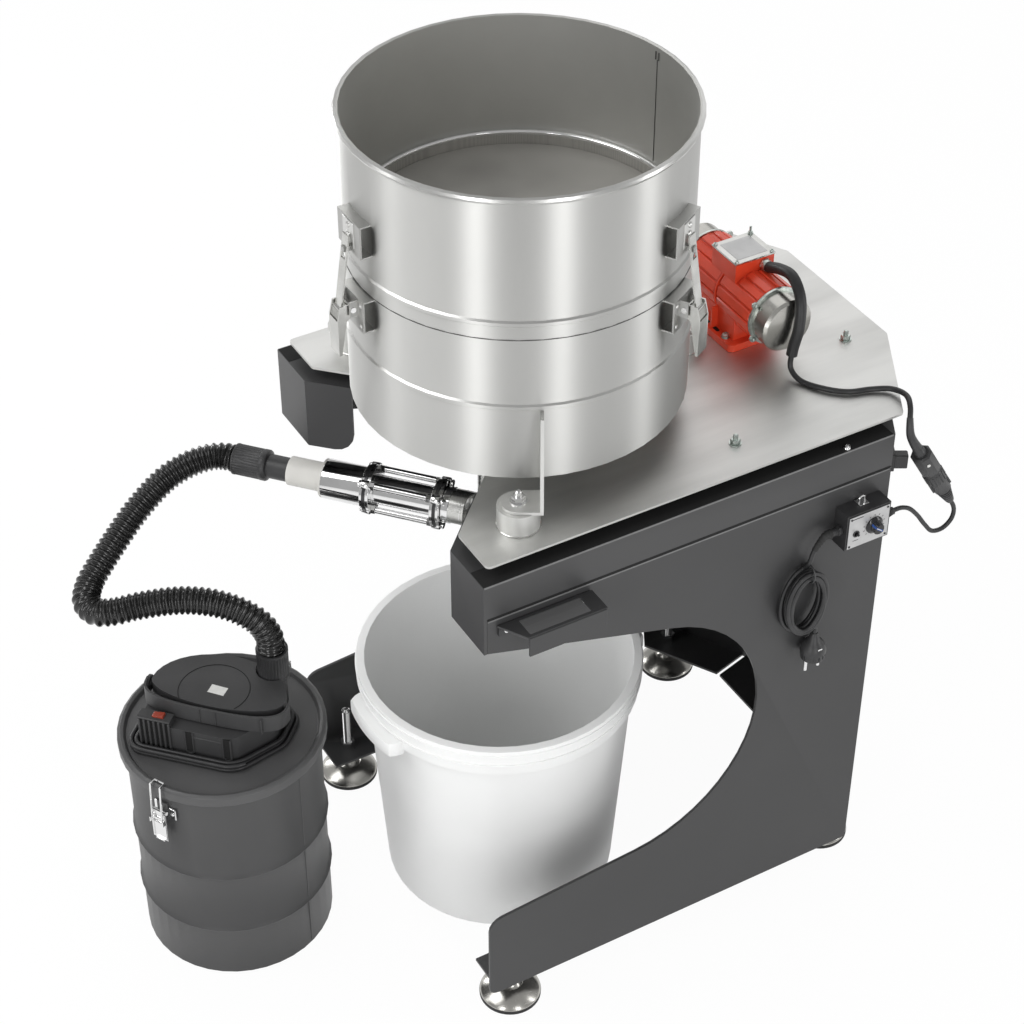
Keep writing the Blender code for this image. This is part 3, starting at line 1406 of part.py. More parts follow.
def build_suction_pipe():
    flange_in = SIGHT_FLANGE_THICK
    inner = SIGHT_RADIUS - PIPE_WALL
    sight = [
        (inner, SIGHT_END),
        (SIGHT_FLANGE, SIGHT_END),
        (SIGHT_FLANGE, SIGHT_END - flange_in),
        (SIGHT_RADIUS, SIGHT_END - flange_in),
        (SIGHT_RADIUS, SIGHT_START + flange_in),
        (SIGHT_FLANGE, SIGHT_START + flange_in),
        (SIGHT_FLANGE, SIGHT_START),
        (inner, SIGHT_START),
    ]
    rods = []
    for i in range(4):
        turn = math.pi / 4 + i * math.pi / 2
        x, y = SIGHT_ROD_CIRCLE * math.cos(turn), SIGHT_ROD_CIRCLE * math.sin(turn)
        rods.append(
            rod(
                f"tie_rod_{i}",
                (x, y, SIGHT_START + flange_in / 2),
                (x, y, SIGHT_END - flange_in / 2),
                SIGHT_ROD_RADIUS,
                8,
            )
        )
    pipe_piece("sight_glass", sight, "stainless", rods)
    start, end = SIGHT_END + GAP, SIGHT_END + PIPE_SLEEVE_LENGTH
    sleeve_in = PIPE_SLEEVE_RADIUS - PIPE_WALL
    sleeve = [(sleeve_in, end), (PIPE_SLEEVE_RADIUS, end), (PIPE_SLEEVE_RADIUS, start), (sleeve_in, start)]
    pipe_piece("suction_sleeve", sleeve, "chrome")
    start, end = ADAPTER_START + GAP, ADAPTER_START + ADAPTER_LENGTH
    inner = CUFF_NECK - PIPE_WALL
    adapter = [
        (inner, end),
        (ADAPTER_RADIUS, end),
        (ADAPTER_RADIUS, start + ADAPTER_LIP_THICK),
        (ADAPTER_LIP, start + ADAPTER_LIP_THICK),
        (ADAPTER_LIP, start),
        (inner, start),
    ]
    pipe_piece("hose_adapter", adapter, "cream_plastic")
    start, end = CUFF_START + GAP, HOSE_START - GAP
    neck_end = CUFF_START + CUFF_NECK_LENGTH
    inner = CUFF_NECK - PIPE_WALL
    cuff = [
        (inner, end),
        (CUFF_RADIUS, end),
        (CUFF_RADIUS, neck_end),
        (CUFF_NECK, neck_end - OVERRUN),
        (CUFF_NECK, start),
        (inner, start),
    ]
    pipe_piece("hose_cuff_front", cuff, "black_plastic")
    cord("suction_hose", HOSE_ROUTE, HOSE_RADIUS, "rubber", 0.6, 3)


def wall_with_beads():
    """Outer profile of the vacuum's canister from its top to its floor."""
    points = [(CANISTER_RADIUS, CANISTER_TOP)]
    for height in CANISTER_BEADS:
        points += [
            (CANISTER_RADIUS, height + CANISTER_BEAD_HALF),
            (CANISTER_RADIUS + CANISTER_BEAD_STAND, height),
            (CANISTER_RADIUS, height - CANISTER_BEAD_HALF),
        ]
    return points + [(CANISTER_RADIUS, CANISTER_FLOOR), (CANISTER_RADIUS - CANISTER_FLOOR, 0), (0, 0)]


def build_vacuum():
    inner = CANISTER_RADIUS - CANISTER_WALL
    profile = [(0, CANISTER_FLOOR), (inner, CANISTER_FLOOR), (inner, CANISTER_TOP)] + wall_with_beads()
    canister = turned("canister", profile, closed=False, sides=40)
    for i, angle in enumerate(CLIP_ANGLES):
        base = box(
            f"clip_base_{i + 1}",
            (CANISTER_RADIUS - CANISTER_WALL / 2, -CLIP_BASE_HALF, CLIP_PIVOT_HEIGHT - CLIP_BASE_TALL / 2),
            (CANISTER_RADIUS + CLIP_BASE_STAND, CLIP_BASE_HALF, CLIP_PIVOT_HEIGHT + CLIP_BASE_TALL / 3),
        )
        base.data.transform(Matrix.Rotation(math.radians(angle), 4, "Z"))
        combine(canister, [base])
    finish(canister, "drum_paint", vacuum_axis)
    well_top = LID_TOP - LID_WELL
    lid = [
        (0, well_top),
        (LID_RADIUS - LID_WELL * 1.6, well_top),
        (LID_RADIUS - LID_WELL * 1.2, LID_TOP - GAP * 5),
        (LID_RADIUS - LID_WELL * 0.6, LID_TOP),
        (LID_RADIUS - GAP * 5, LID_TOP - GAP * 6),
        (LID_RADIUS, LID_TOP - LID_WELL / 2),
        (LID_RADIUS, LID_TOP - LID_RIM_TALL),
        (LID_RADIUS - LID_SHEET, LID_TOP - LID_RIM_TALL),
        (LID_RADIUS - LID_SHEET, well_top - LID_SHEET),
        (0, well_top - LID_SHEET),
    ]
    finish(turned("canister_lid", lid, closed=False, sides=40), "drum_paint", vacuum_axis)
    build_head(well_top + GAP)
    build_carry_handle()
    build_flex(well_top + GAP)
    for i, angle in enumerate(CLIP_ANGLES):
        hub = empty(f"clip_hub_{i + 1}", (0, 0, 0), math.radians(angle), vacuum_axis)
        build_clip(i + 1, hub)


def head_outline():
    """The motor head's body in plan, with corner radii: straight at the front left, rounder at the right."""
    return [
        (-HEAD_LEFT, -HEAD_FRONT, HEAD_ROUND / 4),
        (HEAD_RIGHT / 2, -HEAD_FRONT, HEAD_ROUND),
        (HEAD_RIGHT, 0, HEAD_ROUND),
        (HEAD_RIGHT, HEAD_BACK * 0.6, HEAD_ROUND * 0.6),
        (HEAD_RIGHT / 2, HEAD_BACK, HEAD_ROUND),
        (-HEAD_LEFT * 0.6, HEAD_BACK, HEAD_ROUND),
        (-HEAD_LEFT, HEAD_BACK * 0.2, HEAD_ROUND),
    ]


def offset_outline(outline, width):
    """An outline of (x, y, radius) corners moved outwards all round by a width."""
    moved = []
    count = len(outline)
    for i, (x, y, radius) in enumerate(outline):
        here = Vector((x, y))
        before = (here - Vector(outline[i - 1][:2])).normalized()
        after = (Vector(outline[(i + 1) % count][:2]) - here).normalized()
        out = Vector((before.y, -before.x)) + Vector((after.y, -after.x))
        out = out.normalized() * width / math.cos(before.angle(after) / 2)
        moved.append((x + out.x, y + out.y, radius + width))
    return moved


def oval(half, front, back, steps, power=2.0):
    """A closed oval with its own depth to the front and to the back."""
    points = []
    for i in range(steps):
        x, y = math.cos(math.tau * i / steps), math.sin(math.tau * i / steps)
        x = math.copysign(abs(x) ** (2 / power), x)
        y = math.copysign(abs(y) ** (2 / power), y)
        points.append((half * x, y * (back if y > 0 else front)))
    return points


def build_head(low):
    head = slab("vacuum_head", rounded(head_outline()), low, HEAD_SHOULDER)
    top = slab("head_top", oval(TOP_HALF, TOP_FRONT, TOP_BACK, 36), HEAD_SHOULDER - OVERRUN, HEAD_TOP)
    x, y = SPOUT_PLACE
    spout = rod("inlet_spout", (x, y, low + FLEX_TALL + OVERRUN), (x, y, SPOUT_TOP + OVERRUN), SPOUT_RADIUS)
    niche = rod("cuff_niche", (x, y, SPOUT_TOP), (x, y, HEAD_TOP + OVERRUN), CUFF_RADIUS + SPOUT_CLEARANCE)
    vents = box(
        "vent_block",
        (GAP - HEAD_LEFT, GAP - HEAD_FRONT, HEAD_SHOULDER - OVERRUN),
        (VENT_LENGTH - HEAD_LEFT, VENT_DEPTH - HEAD_FRONT, HEAD_SHOULDER + VENT_RISE),
    )
    switch_x, switch_y = VENT_LENGTH * 0.6 - HEAD_LEFT, SWITCH_INSET - HEAD_FRONT
    vent_top = HEAD_SHOULDER + VENT_RISE
    wide, deep = SWITCH_HALF_X + SWITCH_CLEARANCE, SWITCH_HALF_Y + SWITCH_CLEARANCE
    well = box(
        "switch_well",
        (switch_x - wide, switch_y - deep, vent_top - SWITCH_WELL),
        (switch_x + wide, switch_y + deep, vent_top + OVERRUN),
    )
    combine(head, [top, vents, spout])
    combine(head, [niche, well], "DIFFERENCE")
    finish(head, "black_plastic", head_hub)
    floor = vent_top - SWITCH_WELL + SWITCH_CLEARANCE * 1.4
    rocker = box(
        "vacuum_switch",
        (switch_x - SWITCH_HALF_X, switch_y - SWITCH_HALF_Y, floor),
        (switch_x + SWITCH_HALF_X, switch_y + SWITCH_HALF_Y, floor + SWITCH_TALL),
    )
    finish(rocker, "red_plastic", head_hub, origin=(switch_x, switch_y, floor + SWITCH_TALL / 2))
    rocker.rotation_euler = (0, math.radians(-ROCKER_TILT), 0)


def build_carry_handle():
    """A band hinged on both ends of the head, folded down round the front of its top."""
    low, high = HEAD_TOP - BAND_TALL, HEAD_TOP
    middle = (low + high) / 2
    outer = oval(BAND_HALF + BAND_THICK, BAND_FRONT + BAND_THICK, 0, BAND_SIDES * 2, 3.0)[BAND_SIDES:]
    inner = oval(BAND_HALF, BAND_FRONT, 0, BAND_SIDES * 2, 3.0)[BAND_SIDES:]
    outer.append((BAND_HALF + BAND_THICK, 0))
    inner.append((BAND_HALF, 0))
    band = slab("carry_handle", outer + inner[::-1], low, high)
    pins = [
        rod(
            f"band_pivot_{sign}",
            (sign * (TOP_HALF + GAP), 0, middle),
            (sign * (BAND_HALF + BAND_THICK / 2), 0, middle),
            PIVOT_RADIUS,
            12,
        )
        for sign in (-1, 1)
    ]
    combine(band, pins)
    finish(band, "black_plastic", head_hub, origin=(0, 0, middle))


def build_flex(low):
    """The vacuum's own lead, wound round the head's foot, with its moulded plug on it behind the head."""
    inner = offset_outline(head_outline(), FLEX_CLEARANCE)
    outer = offset_outline(inner, FLEX_WIDTH)
    flex = slab("vacuum_flex", rounded(outer), low, low + FLEX_TALL)
    hole = slab("flex_hole", rounded(inner), low - OVERRUN, low + FLEX_TALL + OVERRUN)
    combine(flex, [hole], "DIFFERENCE")
    y = HEAD_BACK + GAP * 4 + FLEX_PLUG_RADIUS
    z = low + FLEX_TALL - GAP + FLEX_PLUG_RADIUS
    half = FLEX_PLUG_LENGTH / 2
    plug = rod("vacuum_plug", (-half, y, z), (half, y, z), FLEX_PLUG_RADIUS, 14)
    pins = []
    for sign in (-1, 1):
        pin_z = z + sign * PLUG_PIN_SPREAD * 0.6
        start, end = half - OVERRUN, half + PLUG_PIN_LENGTH
        pins.append(rod(f"vacuum_pin_{sign}", (-start, y, pin_z), (-end, y, pin_z), PLUG_PIN_RADIUS, 8))
    combine(flex, [plug, *pins])
    finish(flex, "cable_black", head_hub)


def build_clip(i, hub):
    """A draw clip: a lever on its pin on the canister, and a wire loop from its lugs over the lid."""
    out = CANISTER_RADIUS + CLIP_PIVOT_STAND
    height = CLIP_PIVOT_HEIGHT
    half = CLIP_HALF_WIDTH
    face = out + CLIP_PIN_RADIUS
    wire_out, wire_low = out + CLIP_WIRE_OUT, height - CLIP_WIRE_DROP
    lever = box(
        f"lid_clip_{i}",
        (face - CLIP_SHEET, -half, height - CLIP_LEVER_LENGTH),
        (face, half, height + CLIP_PIN_RADIUS),
    )
    pin = rod(f"clip_pin_{i}", (out, -half + GAP, height), (out, half - GAP, height), CLIP_PIN_RADIUS, 10)
    lugs = []
    for sign in (-1, 1):
        inside, outside = sorted((sign * (half - CLIP_LUG_THICK), sign * (half - GAP)))
        lugs.append(
            box(
                f"clip_lug_{i}_{sign}",
                (face - CLIP_SHEET / 2, inside, wire_low - CLIP_LUG_SIZE / 2),
                (wire_out + CLIP_WIRE_RADIUS * 1.5, outside, wire_low + CLIP_LUG_SIZE / 2),
            )
        )
    combine(lever, [pin, *lugs])
    finish(lever, "chrome", hub, origin=(out, 0, height))
    side_x = LID_RADIUS + CLIP_WIRE_RADIUS + GAP * 2
    hook_x = LID_RADIUS - LID_WELL
    top = LID_TOP + CLIP_WIRE_RADIUS + GAP * 2
    y = half - CLIP_LUG_THICK - GAP - CLIP_WIRE_RADIUS
    side = [(wire_out, -y, wire_low), (side_x, -y, top), (hook_x, -y, top)]
    far_side = [(x, -y, z) for x, y, z in reversed(side)]
    loop = round_curve(f"clip_wire_{i}", side + far_side, CLIP_WIRE_RADIUS, 2)
    loop.splines[0].use_cyclic_u = True
    wire = baked(new_object(f"clip_wire_{i}", loop))
    finish(wire, "chrome", hub, origin=(wire_out, 0, wire_low))


def build_rear_cuff():
    start = SPOUT_TOP + GAP
    end = start + CUFF_LENGTH
    inner = CUFF_NECK - PIPE_WALL
    cuff = [
        (inner, end),
        (CUFF_RADIUS, end),
        (CUFF_RADIUS, start + OVERRUN),
        (CUFF_RADIUS - OVERRUN / 2, start),
        (inner, start),
    ]
    piece = finish(turned("hose_cuff_rear", cuff, closed=True, sides=28), "black_plastic", head_hub)
    piece.location = (*SPOUT_PLACE, 0)


def build_bucket():
    wall = BUCKET_WALL
    skirt_in = BUCKET_NECK_RADIUS + BUCKET_SKIRT_GAP
    foot = BUCKET_FOOT_ROUND
    profile = [
        (0, foot),
        (BUCKET_BASE_RADIUS - wall * 2, foot),
        (BUCKET_NECK_RADIUS - wall, BUCKET_SKIRT_BOTTOM),
        (BUCKET_TOP_RADIUS - wall * 4, BUCKET_TOP),
        (BUCKET_TOP_RADIUS, BUCKET_TOP),
        (BUCKET_TOP_RADIUS, BUCKET_TOP - foot / 2),
        (BUCKET_TOP_RADIUS - wall, BUCKET_SKIRT_BOTTOM),
        (skirt_in, BUCKET_SKIRT_BOTTOM),
        (skirt_in, BUCKET_TOP - foot * 2),
        (BUCKET_NECK_RADIUS + wall / 2, BUCKET_TOP - foot * 2),
        (BUCKET_NECK_RADIUS, BUCKET_SKIRT_BOTTOM - foot),
        (BUCKET_BASE_RADIUS, foot),
        (BUCKET_BASE_RADIUS - foot, 0),
        (0, 0),
    ]
    bucket = turned("bucket", profile, closed=False)
    bucket = finish(bucket, "white_plastic", sieve_axis)
    bucket.location = (0, -BUCKET_FORWARD, 0)


clear_scene()
parts = new_collection("vibrating_sieve")
cutters = new_collection("cutters")
cutters.hide_render = True
materials = {name: new_material(name) for name in FINISHES}
sieve_axis = empty("sieve_axis", (0, SIEVE_BACK, 0))
vacuum_axis = empty("vacuum_axis", (VACUUM_SIDE, VACUUM_BACK, 0))
head_hub = empty("head_hub", (HEAD_SIDE, -HEAD_FORWARD, 0), math.radians(HEAD_ANGLE), vacuum_axis)

build_hopper()
build_pan()
build_outlet()
build_brackets()
build_screen()
build_latches()
build_deck()
build_side_panels()
build_rear_panel()
build_top_frame()
build_handles()
build_feet()
build_motor()
build_controller()
build_mains()
build_cables()
build_suction_pipe()
build_vacuum()
build_rear_cuff()
build_bucket()
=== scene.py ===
"""Looks of the vibrating sieve set: camera, cords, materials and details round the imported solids.

Metres, +Z up, the open front of the stand towards -Y. SIEVE_BACK is the sieve's axis from the origin.
"""

from math import cos, pi, radians, sin, tan, tau

import bpy
from mathutils import Matrix, Vector


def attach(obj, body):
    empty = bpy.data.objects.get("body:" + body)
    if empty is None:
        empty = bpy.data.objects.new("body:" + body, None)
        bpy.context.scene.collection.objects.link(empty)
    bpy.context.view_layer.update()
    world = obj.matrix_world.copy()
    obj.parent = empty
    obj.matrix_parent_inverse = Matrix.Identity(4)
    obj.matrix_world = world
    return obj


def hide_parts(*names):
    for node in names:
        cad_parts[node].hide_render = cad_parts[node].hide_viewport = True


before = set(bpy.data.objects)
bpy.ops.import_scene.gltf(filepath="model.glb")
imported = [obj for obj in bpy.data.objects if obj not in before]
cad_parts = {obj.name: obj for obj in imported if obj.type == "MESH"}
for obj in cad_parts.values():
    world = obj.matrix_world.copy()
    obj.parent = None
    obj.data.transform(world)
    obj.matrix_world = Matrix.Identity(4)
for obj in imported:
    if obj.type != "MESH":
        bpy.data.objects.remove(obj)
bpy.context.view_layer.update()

SIEVE_BACK = 0.0259
VACUUM = Vector((-0.083, -0.3595, 0))
HEAD = Vector((-0.075, -0.3635, 0))
HEAD_TURN = radians(44)
PIPE_TURN = radians(221.4)
PIPE_HEIGHT = 0.575
BUCKET = Vector((0, SIEVE_BACK - 0.028, 0))
LID_WELL = 0.3338
SIEVE_AXIS = Matrix.Translation((0, SIEVE_BACK, 0))

UP = (0, 0, 1)
WHITE = (1, 1, 1, 1)
WORLD_LIGHT = 0.65
GLOSSY_DROP = -0.22  # what reflections see less of the world's light
STRIP_REACH, STRIP_HEIGHT = 2.7, 1.35
STRIPS = (("a", -54, 17), ("b", -5, 16), ("c", 50, 11), ("d", -109, 6), ("e", 193, 16))  # azimuth, watts
SEEN_FLOOR, MIRRORED_FLOOR = 0.96, 0.7


# Shader nodes


def feed(tree, node, inputs):
    """Sets a node's inputs, each to a value or to another node's output."""
    for key, value in inputs.items():
        if isinstance(value, bpy.types.NodeSocket):
            tree.links.new(value, node.inputs[key])
        else:
            node.inputs[key].default_value = value


def add(tree, kind, inputs=None, **settings):
    node = tree.nodes.new("ShaderNode" + kind)
    for key, value in settings.items():
        setattr(node, key, value)
    feed(tree, node, inputs or {})
    return node


def empty_tree(owner):
    owner.use_nodes = True
    owner.node_tree.nodes.clear()
    return owner.node_tree


def ramp(tree, value, low, high, start=0.0, end=1.0):
    """A ramp from one colour to another; the output is its colour."""
    node = add(tree, "ValToRGB", {"Fac": value})
    for stop, colour, position in zip(node.color_ramp.elements, (low, high), (start, end)):
        stop.color, stop.position = (*colour, 1), position
    return node.outputs["Color"]


# Camera and surroundings


def camera():
    data = bpy.data.cameras.new("camera")
    data.lens = 84.73
    data.sensor_width = 36
    data.clip_end = 50
    obj = bpy.data.objects.new("camera", data)
    obj.location = (2.0027, -1.1351, 2.4847)
    obj.rotation_euler = (radians(50.65), 0, radians(60.086))
    bpy.context.scene.collection.objects.link(obj)
    bpy.context.scene.camera = obj


def area_light(name, place, aim, width, height, watts):
    data = bpy.data.lights.new(name, "AREA")
    data.shape = "RECTANGLE"
    data.size = width
    data.size_y = height
    data.energy = watts
    obj = bpy.data.objects.new(name, data)
    obj.location = place
    obj.rotation_euler = (Vector(aim) - Vector(place)).to_track_quat("-Z", "Y").to_euler()
    bpy.context.scene.collection.objects.link(obj)


def surroundings():
    world = bpy.data.worlds.new("studio")
    bpy.context.scene.world = world
    tree = empty_tree(world)
    path = add(tree, "LightPath").outputs
    strength = add(tree, "Math", {0: path["Is Glossy Ray"], 1: GLOSSY_DROP, 2: WORLD_LIGHT},
                   operation="MULTIPLY_ADD")
    light = add(tree, "Background", {"Color": WHITE, "Strength": strength.outputs[0]})
    seen = add(tree, "Background", {"Color": WHITE, "Strength": 1.0})
    mix = add(tree, "MixShader", {0: path["Is Camera Ray"], 1: light.outputs[0], 2: seen.outputs[0]})
    add(tree, "OutputWorld", {0: mix.outputs[0]})
    area_light("key", (-0.6, -2.4, 3.4), (0, 0, 0.6), 2.0, 2.0, 43)
    area_light("back", (-2.1, 1.5, 2.9), (0, 0, 0.8), 3.3, 3.3, 26)
    for name, azimuth, watts in STRIPS:
        turn = radians(azimuth)
        place = (STRIP_REACH * cos(turn), STRIP_REACH * sin(turn), STRIP_HEIGHT)
        area_light(f"strip_{name}", place, (0, 0, 0.85), 0.42, 2.0, watts)
    floor = mesh_object("floor", [(-9, -9, 0), (9, -9, 0), (9, 9, 0), (-9, 9, 0)], [(0, 1, 2, 3)])
    mat = bpy.data.materials.new("floor")
    tree = empty_tree(mat)
    path = add(tree, "LightPath").outputs
    seen = add(tree, "Math", {0: path["Is Camera Ray"], 1: path["Is Transmission Ray"]}, operation="MAXIMUM")
    shares = [add(tree, "Math", {0: source, 1: share}, operation="MULTIPLY").outputs[0]
              for source, share in ((seen.outputs[0], SEEN_FLOOR), (path["Is Glossy Ray"], MIRRORED_FLOOR))]
    total = add(tree, "Math", {0: shares[0], 1: shares[1]}, operation="MAXIMUM")
    paper = add(tree, "BsdfDiffuse", {"Color": (0.86, 0.86, 0.86, 1)})
    glow = add(tree, "Emission", {"Color": WHITE})
    mix = add(tree, "MixShader", {0: total.outputs[0], 1: paper.outputs[0], 2: glow.outputs[0]})
    add(tree, "OutputMaterial", {0: mix.outputs[0]})
    floor.data.materials.append(mat)
    bpy.context.scene.view_settings.view_transform = "Standard"


# Materials


def material(name, colour, rough, metal=0.0, vary=0.08, scale=40.0, bump=0.0, bump_scale=600.0, rough_vary=0.06,
             stretch=(1, 1, 1), fine_stretch=(1, 1, 1), coat=0.0, anisotropic=0.0, specular=0.5, dirt=0.0):
    """A procedural finish: large soft colour changes, fine grain in roughness and bump, and worn edges."""
    mat = bpy.data.materials.new(name)
    mat.use_nodes = True
    tree = mat.node_tree
    place = add(tree, "TexCoord").outputs["Object"]
    wide = add(tree, "Mapping", {"Vector": place, "Scale": stretch})
    cloud = add(tree, "TexNoise", {"Vector": wide.outputs[0], "Scale": scale, "Detail": 5})
    low, high = [c * (1 - vary) for c in colour], [min(1, c * (1 + vary)) for c in colour]
    base = ramp(tree, cloud.outputs["Fac"], low, high, 0.35, 0.65)
    if dirt:
        edge = add(tree, "NewGeometry").outputs["Pointiness"]
        worn = ramp(tree, edge, (0, 0, 0), (1, 1, 1), 0.53, 0.62)
        blend = {"Fac": worn, "Color1": base, "Color2": (dirt, dirt, dirt, 1)}
        base = add(tree, "MixRGB", blend, blend_type="ADD").outputs["Color"]
    fine_place = add(tree, "Mapping", {"Vector": place, "Scale": fine_stretch})
    fine = add(tree, "TexNoise", {"Vector": fine_place.outputs[0], "Scale": bump_scale, "Detail": 3}).outputs["Fac"]
    span = {"Value": fine, "To Min": max(0.02, rough - rough_vary), "To Max": min(1, rough + rough_vary)}
    feed(tree, tree.nodes["Principled BSDF"], {
        "Metallic": metal, "Coat Weight": coat, "Anisotropic": anisotropic, "Anisotropic Rotation": 0.25,
        "Specular IOR Level": specular, "Base Color": base, "Roughness": add(tree, "MapRange", span).outputs[0],
    })
    if bump:
        emboss(tree, fine, min(1, bump), 0.0002)
    return mat


def emboss(tree, height, strength, distance):
    relief = add(tree, "Bump", {"Height": height, "Strength": strength, "Distance": distance})
    feed(tree, tree.nodes["Principled BSDF"], {"Normal": relief.outputs[0]})


def woven(name):
    """Fine wire cloth: two crossing waves in colour and relief."""
    mat = bpy.data.materials.new(name)
    mat.use_nodes = True
    tree = mat.node_tree
    place = add(tree, "TexCoord").outputs["Object"]
    waves = [add(tree, "TexWave", {"Vector": place, "Scale": 260}, bands_direction=direction).outputs["Fac"]
             for direction in ("X", "Y")]
    cross = add(tree, "Math", {0: waves[0], 1: waves[1]}, operation="MAXIMUM").outputs[0]
    cloud = add(tree, "TexNoise", {"Vector": place, "Scale": 9}).outputs["Fac"]
    blend = add(tree, "Math", {0: cross, 1: 0.45, 2: cloud}, operation="MULTIPLY_ADD")
    base = ramp(tree, blend.outputs[0], (0.18, 0.175, 0.165), (0.44, 0.43, 0.405))
    feed(tree, tree.nodes["Principled BSDF"], {"Metallic": 0.5, "Roughness": 0.55, "Base Color": base})
    emboss(tree, cross, 0.5, 0.0003)
    return mat


def banded(name, colour, rough, scale, strength):
    """A braided sheath: fine crossing ribs in the bump, with a mottled colour."""
    mat = material(name, colour, rough, vary=0.18, scale=90, bump=0.35, bump_scale=900)
    tree = mat.node_tree
    place = tree.nodes["Texture Coordinate"].outputs["Object"]
    inputs = {"Vector": place, "Scale": scale, "Distortion": 2.0}
    wave = add(tree, "TexWave", inputs, wave_type="BANDS", bands_direction="DIAGONAL")
    emboss(tree, wave.outputs["Fac"], strength, 0.0004)
    return mat


M = {
    "drum": material("drum_steel", (0.6, 0.6, 0.585), 0.46, 1.0, 0.04, 6, 0.06, 90, 0.03, stretch=(1, 1, 0.4),
                     anisotropic=0.88, fine_stretch=(1, 1, 14)),
    "inside": material("inside_steel", (0.6, 0.6, 0.58), 0.52, 1.0, 0.05, 5, 0.05, 120, 0.04,
                       fine_stretch=(1, 1, 10)),
    # dark steel: the weld seam's own colour, and painted shade on the joint ring
    "seam": material("dark_seam_and_joint_shade", (0.1, 0.1, 0.098), 0.5, 0.6, 0.1, 40, 0.1, 400, 0.06),
    "bead": material("pressed_bead", (0.62, 0.62, 0.605), 0.3, 1.0, 0.04, 20, 0.05, 200, 0.04),
    "deck": material("deck_steel", (0.64, 0.64, 0.625), 0.45, 1.0, 0.09, 5, 0.1, 30, 0.07, stretch=(4, 0.6, 1),
                     fine_stretch=(22, 1, 22)),
    "steel": material("bright_steel", (0.58, 0.58, 0.56), 0.24, 1.0, 0.1, 30, 0.12, 400, 0.08),
    "cap": material("drawn_steel", (0.5, 0.49, 0.46), 0.24, 1.0, 0.12, 22, 0.08, 160, 0.08, stretch=(0.5, 1, 1),
                    fine_stretch=(6, 1, 1)),
    "chrome": material("chrome", (0.8, 0.8, 0.8), 0.08, 1.0, 0.05, 30, 0.03, 300, 0.04),
    "black_chrome": material("dark_plating", (0.06, 0.06, 0.062), 0.2, 0.7, 0.3, 60, 0.2, 500, 0.08),
    "zinc": material("zinc_plating", (0.55, 0.6, 0.57), 0.3, 1.0, 0.18, 160, 0.1, 700, 0.08),
    "black_paint": material("black_powder_coat", (0.032, 0.032, 0.033), 0.4, 0.0, 0.07, 5, 0.35, 1500, 0.05,
                            specular=0.42, dirt=0.02),
    # a lighter grey for the painted highlight lines on the frame's edges
    "edge": material("painted_edge_highlight", (0.15, 0.15, 0.15), 0.4, 0.0, 0.1, 60, 0.2, 900, 0.05),
    "drum_paint": material("drum_paint", (0.043, 0.043, 0.044), 0.42, 0.0, 0.12, 8, 0.3, 1100, 0.07,
                           stretch=(1, 1, 0.5), specular=0.42, dirt=0.03),
    # a lighter copy of the canister's paint: painted light on the lid's top
    "lid_paint_painted_lighter": material("lid_paint_painted_lighter", (0.07, 0.07, 0.071), 0.42, 0.0, 0.1, 8, 0.3, 1100, 0.07, specular=0.42,
                          dirt=0.03),
    "rubber": material("rubber", (0.018, 0.018, 0.018), 0.72, 0.0, 0.2, 70, 0.3, 900, 0.06),
    "cable": material("cable_sheath", (0.017, 0.017, 0.018), 0.42, 0.0, 0.2, 80, 0.2, 1200, 0.06),
    "hose": material("hose_plastic", (0.012, 0.012, 0.012), 0.17, 0.0, 0.3, 70, 0.15, 700, 0.06),
    "sleeve": banded("braided_sleeve", (0.018, 0.018, 0.019), 0.62, 420, 0.8),
    "plastic": material("black_plastic", (0.028, 0.028, 0.029), 0.4, 0.0, 0.15, 50, 0.35, 1300, 0.06),
    "head": material("head_plastic", (0.037, 0.037, 0.038), 0.5, 0.0, 0.1, 20, 0.45, 1500, 0.05),
    "gloss": material("gloss_black", (0.01, 0.01, 0.011), 0.16, 0.0, 0.1, 50, 0.05, 900, 0.04),
    # near-black painted shade, for the dark of slots, grooves, gaps and the frame's shadowed top
    "dark_shade": material("painted_shade_black", (0.004, 0.004, 0.004), 0.85, 0.0, 0.2, 50, 0.1, 600, 0.05),
    "red": material("red_paint", (0.74, 0.062, 0.022), 0.34, 0.0, 0.09, 30, 0.35, 260, 0.07, coat=0.15),
    "red_plastic": material("red_plastic", (0.26, 0.04, 0.022), 0.3, 0.0, 0.1, 90, 0.1, 700, 0.05),
    "blue": material("blue_plastic", (0.01, 0.06, 0.26), 0.3, 0.0, 0.1, 90, 0.1, 700, 0.05),
    "white": material("white_polymer", (0.83, 0.835, 0.83), 0.36, 0.0, 0.015, 6, 0.06, 500, 0.05),
    "cream": material("cream_plastic", (0.6, 0.59, 0.56), 0.42, 0.0, 0.05, 30, 0.15, 700, 0.05),
    # light film for the labels and the connector's dot, and for the painted highlight on the knob's stripe
    "label": material("label_film_and_painted_highlight", (0.62, 0.62, 0.6), 0.4, 0.0, 0.06, 120, 0.1, 900, 0.05),
    "face": material("silver_film", (0.5, 0.5, 0.5), 0.38, 0.5, 0.05, 60, 0.1, 900, 0.05),
    "mark": material("black_ink", (0.012, 0.012, 0.012), 0.5, 0.0, 0.2, 200, 0.1, 900, 0.05),
    "mesh": woven("wire_cloth"),
}


# Shapes


def mesh_object(name, points, faces, smooth=False):
    data = bpy.data.meshes.new(name)
    data.from_pydata([tuple(p) for p in points], [], faces)
    data.update()
    obj = bpy.data.objects.new(name, data)
    bpy.context.scene.collection.objects.link(obj)
    if smooth:
        data.shade_smooth()
        data.set_sharp_from_angle(angle=radians(35))
    return obj


def dress(obj, look, body, replaces=()):
    obj.data.materials.clear()
    obj.data.materials.append(M[look])
    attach(obj, body)
    if replaces:
        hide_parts(*replaces)
    return obj


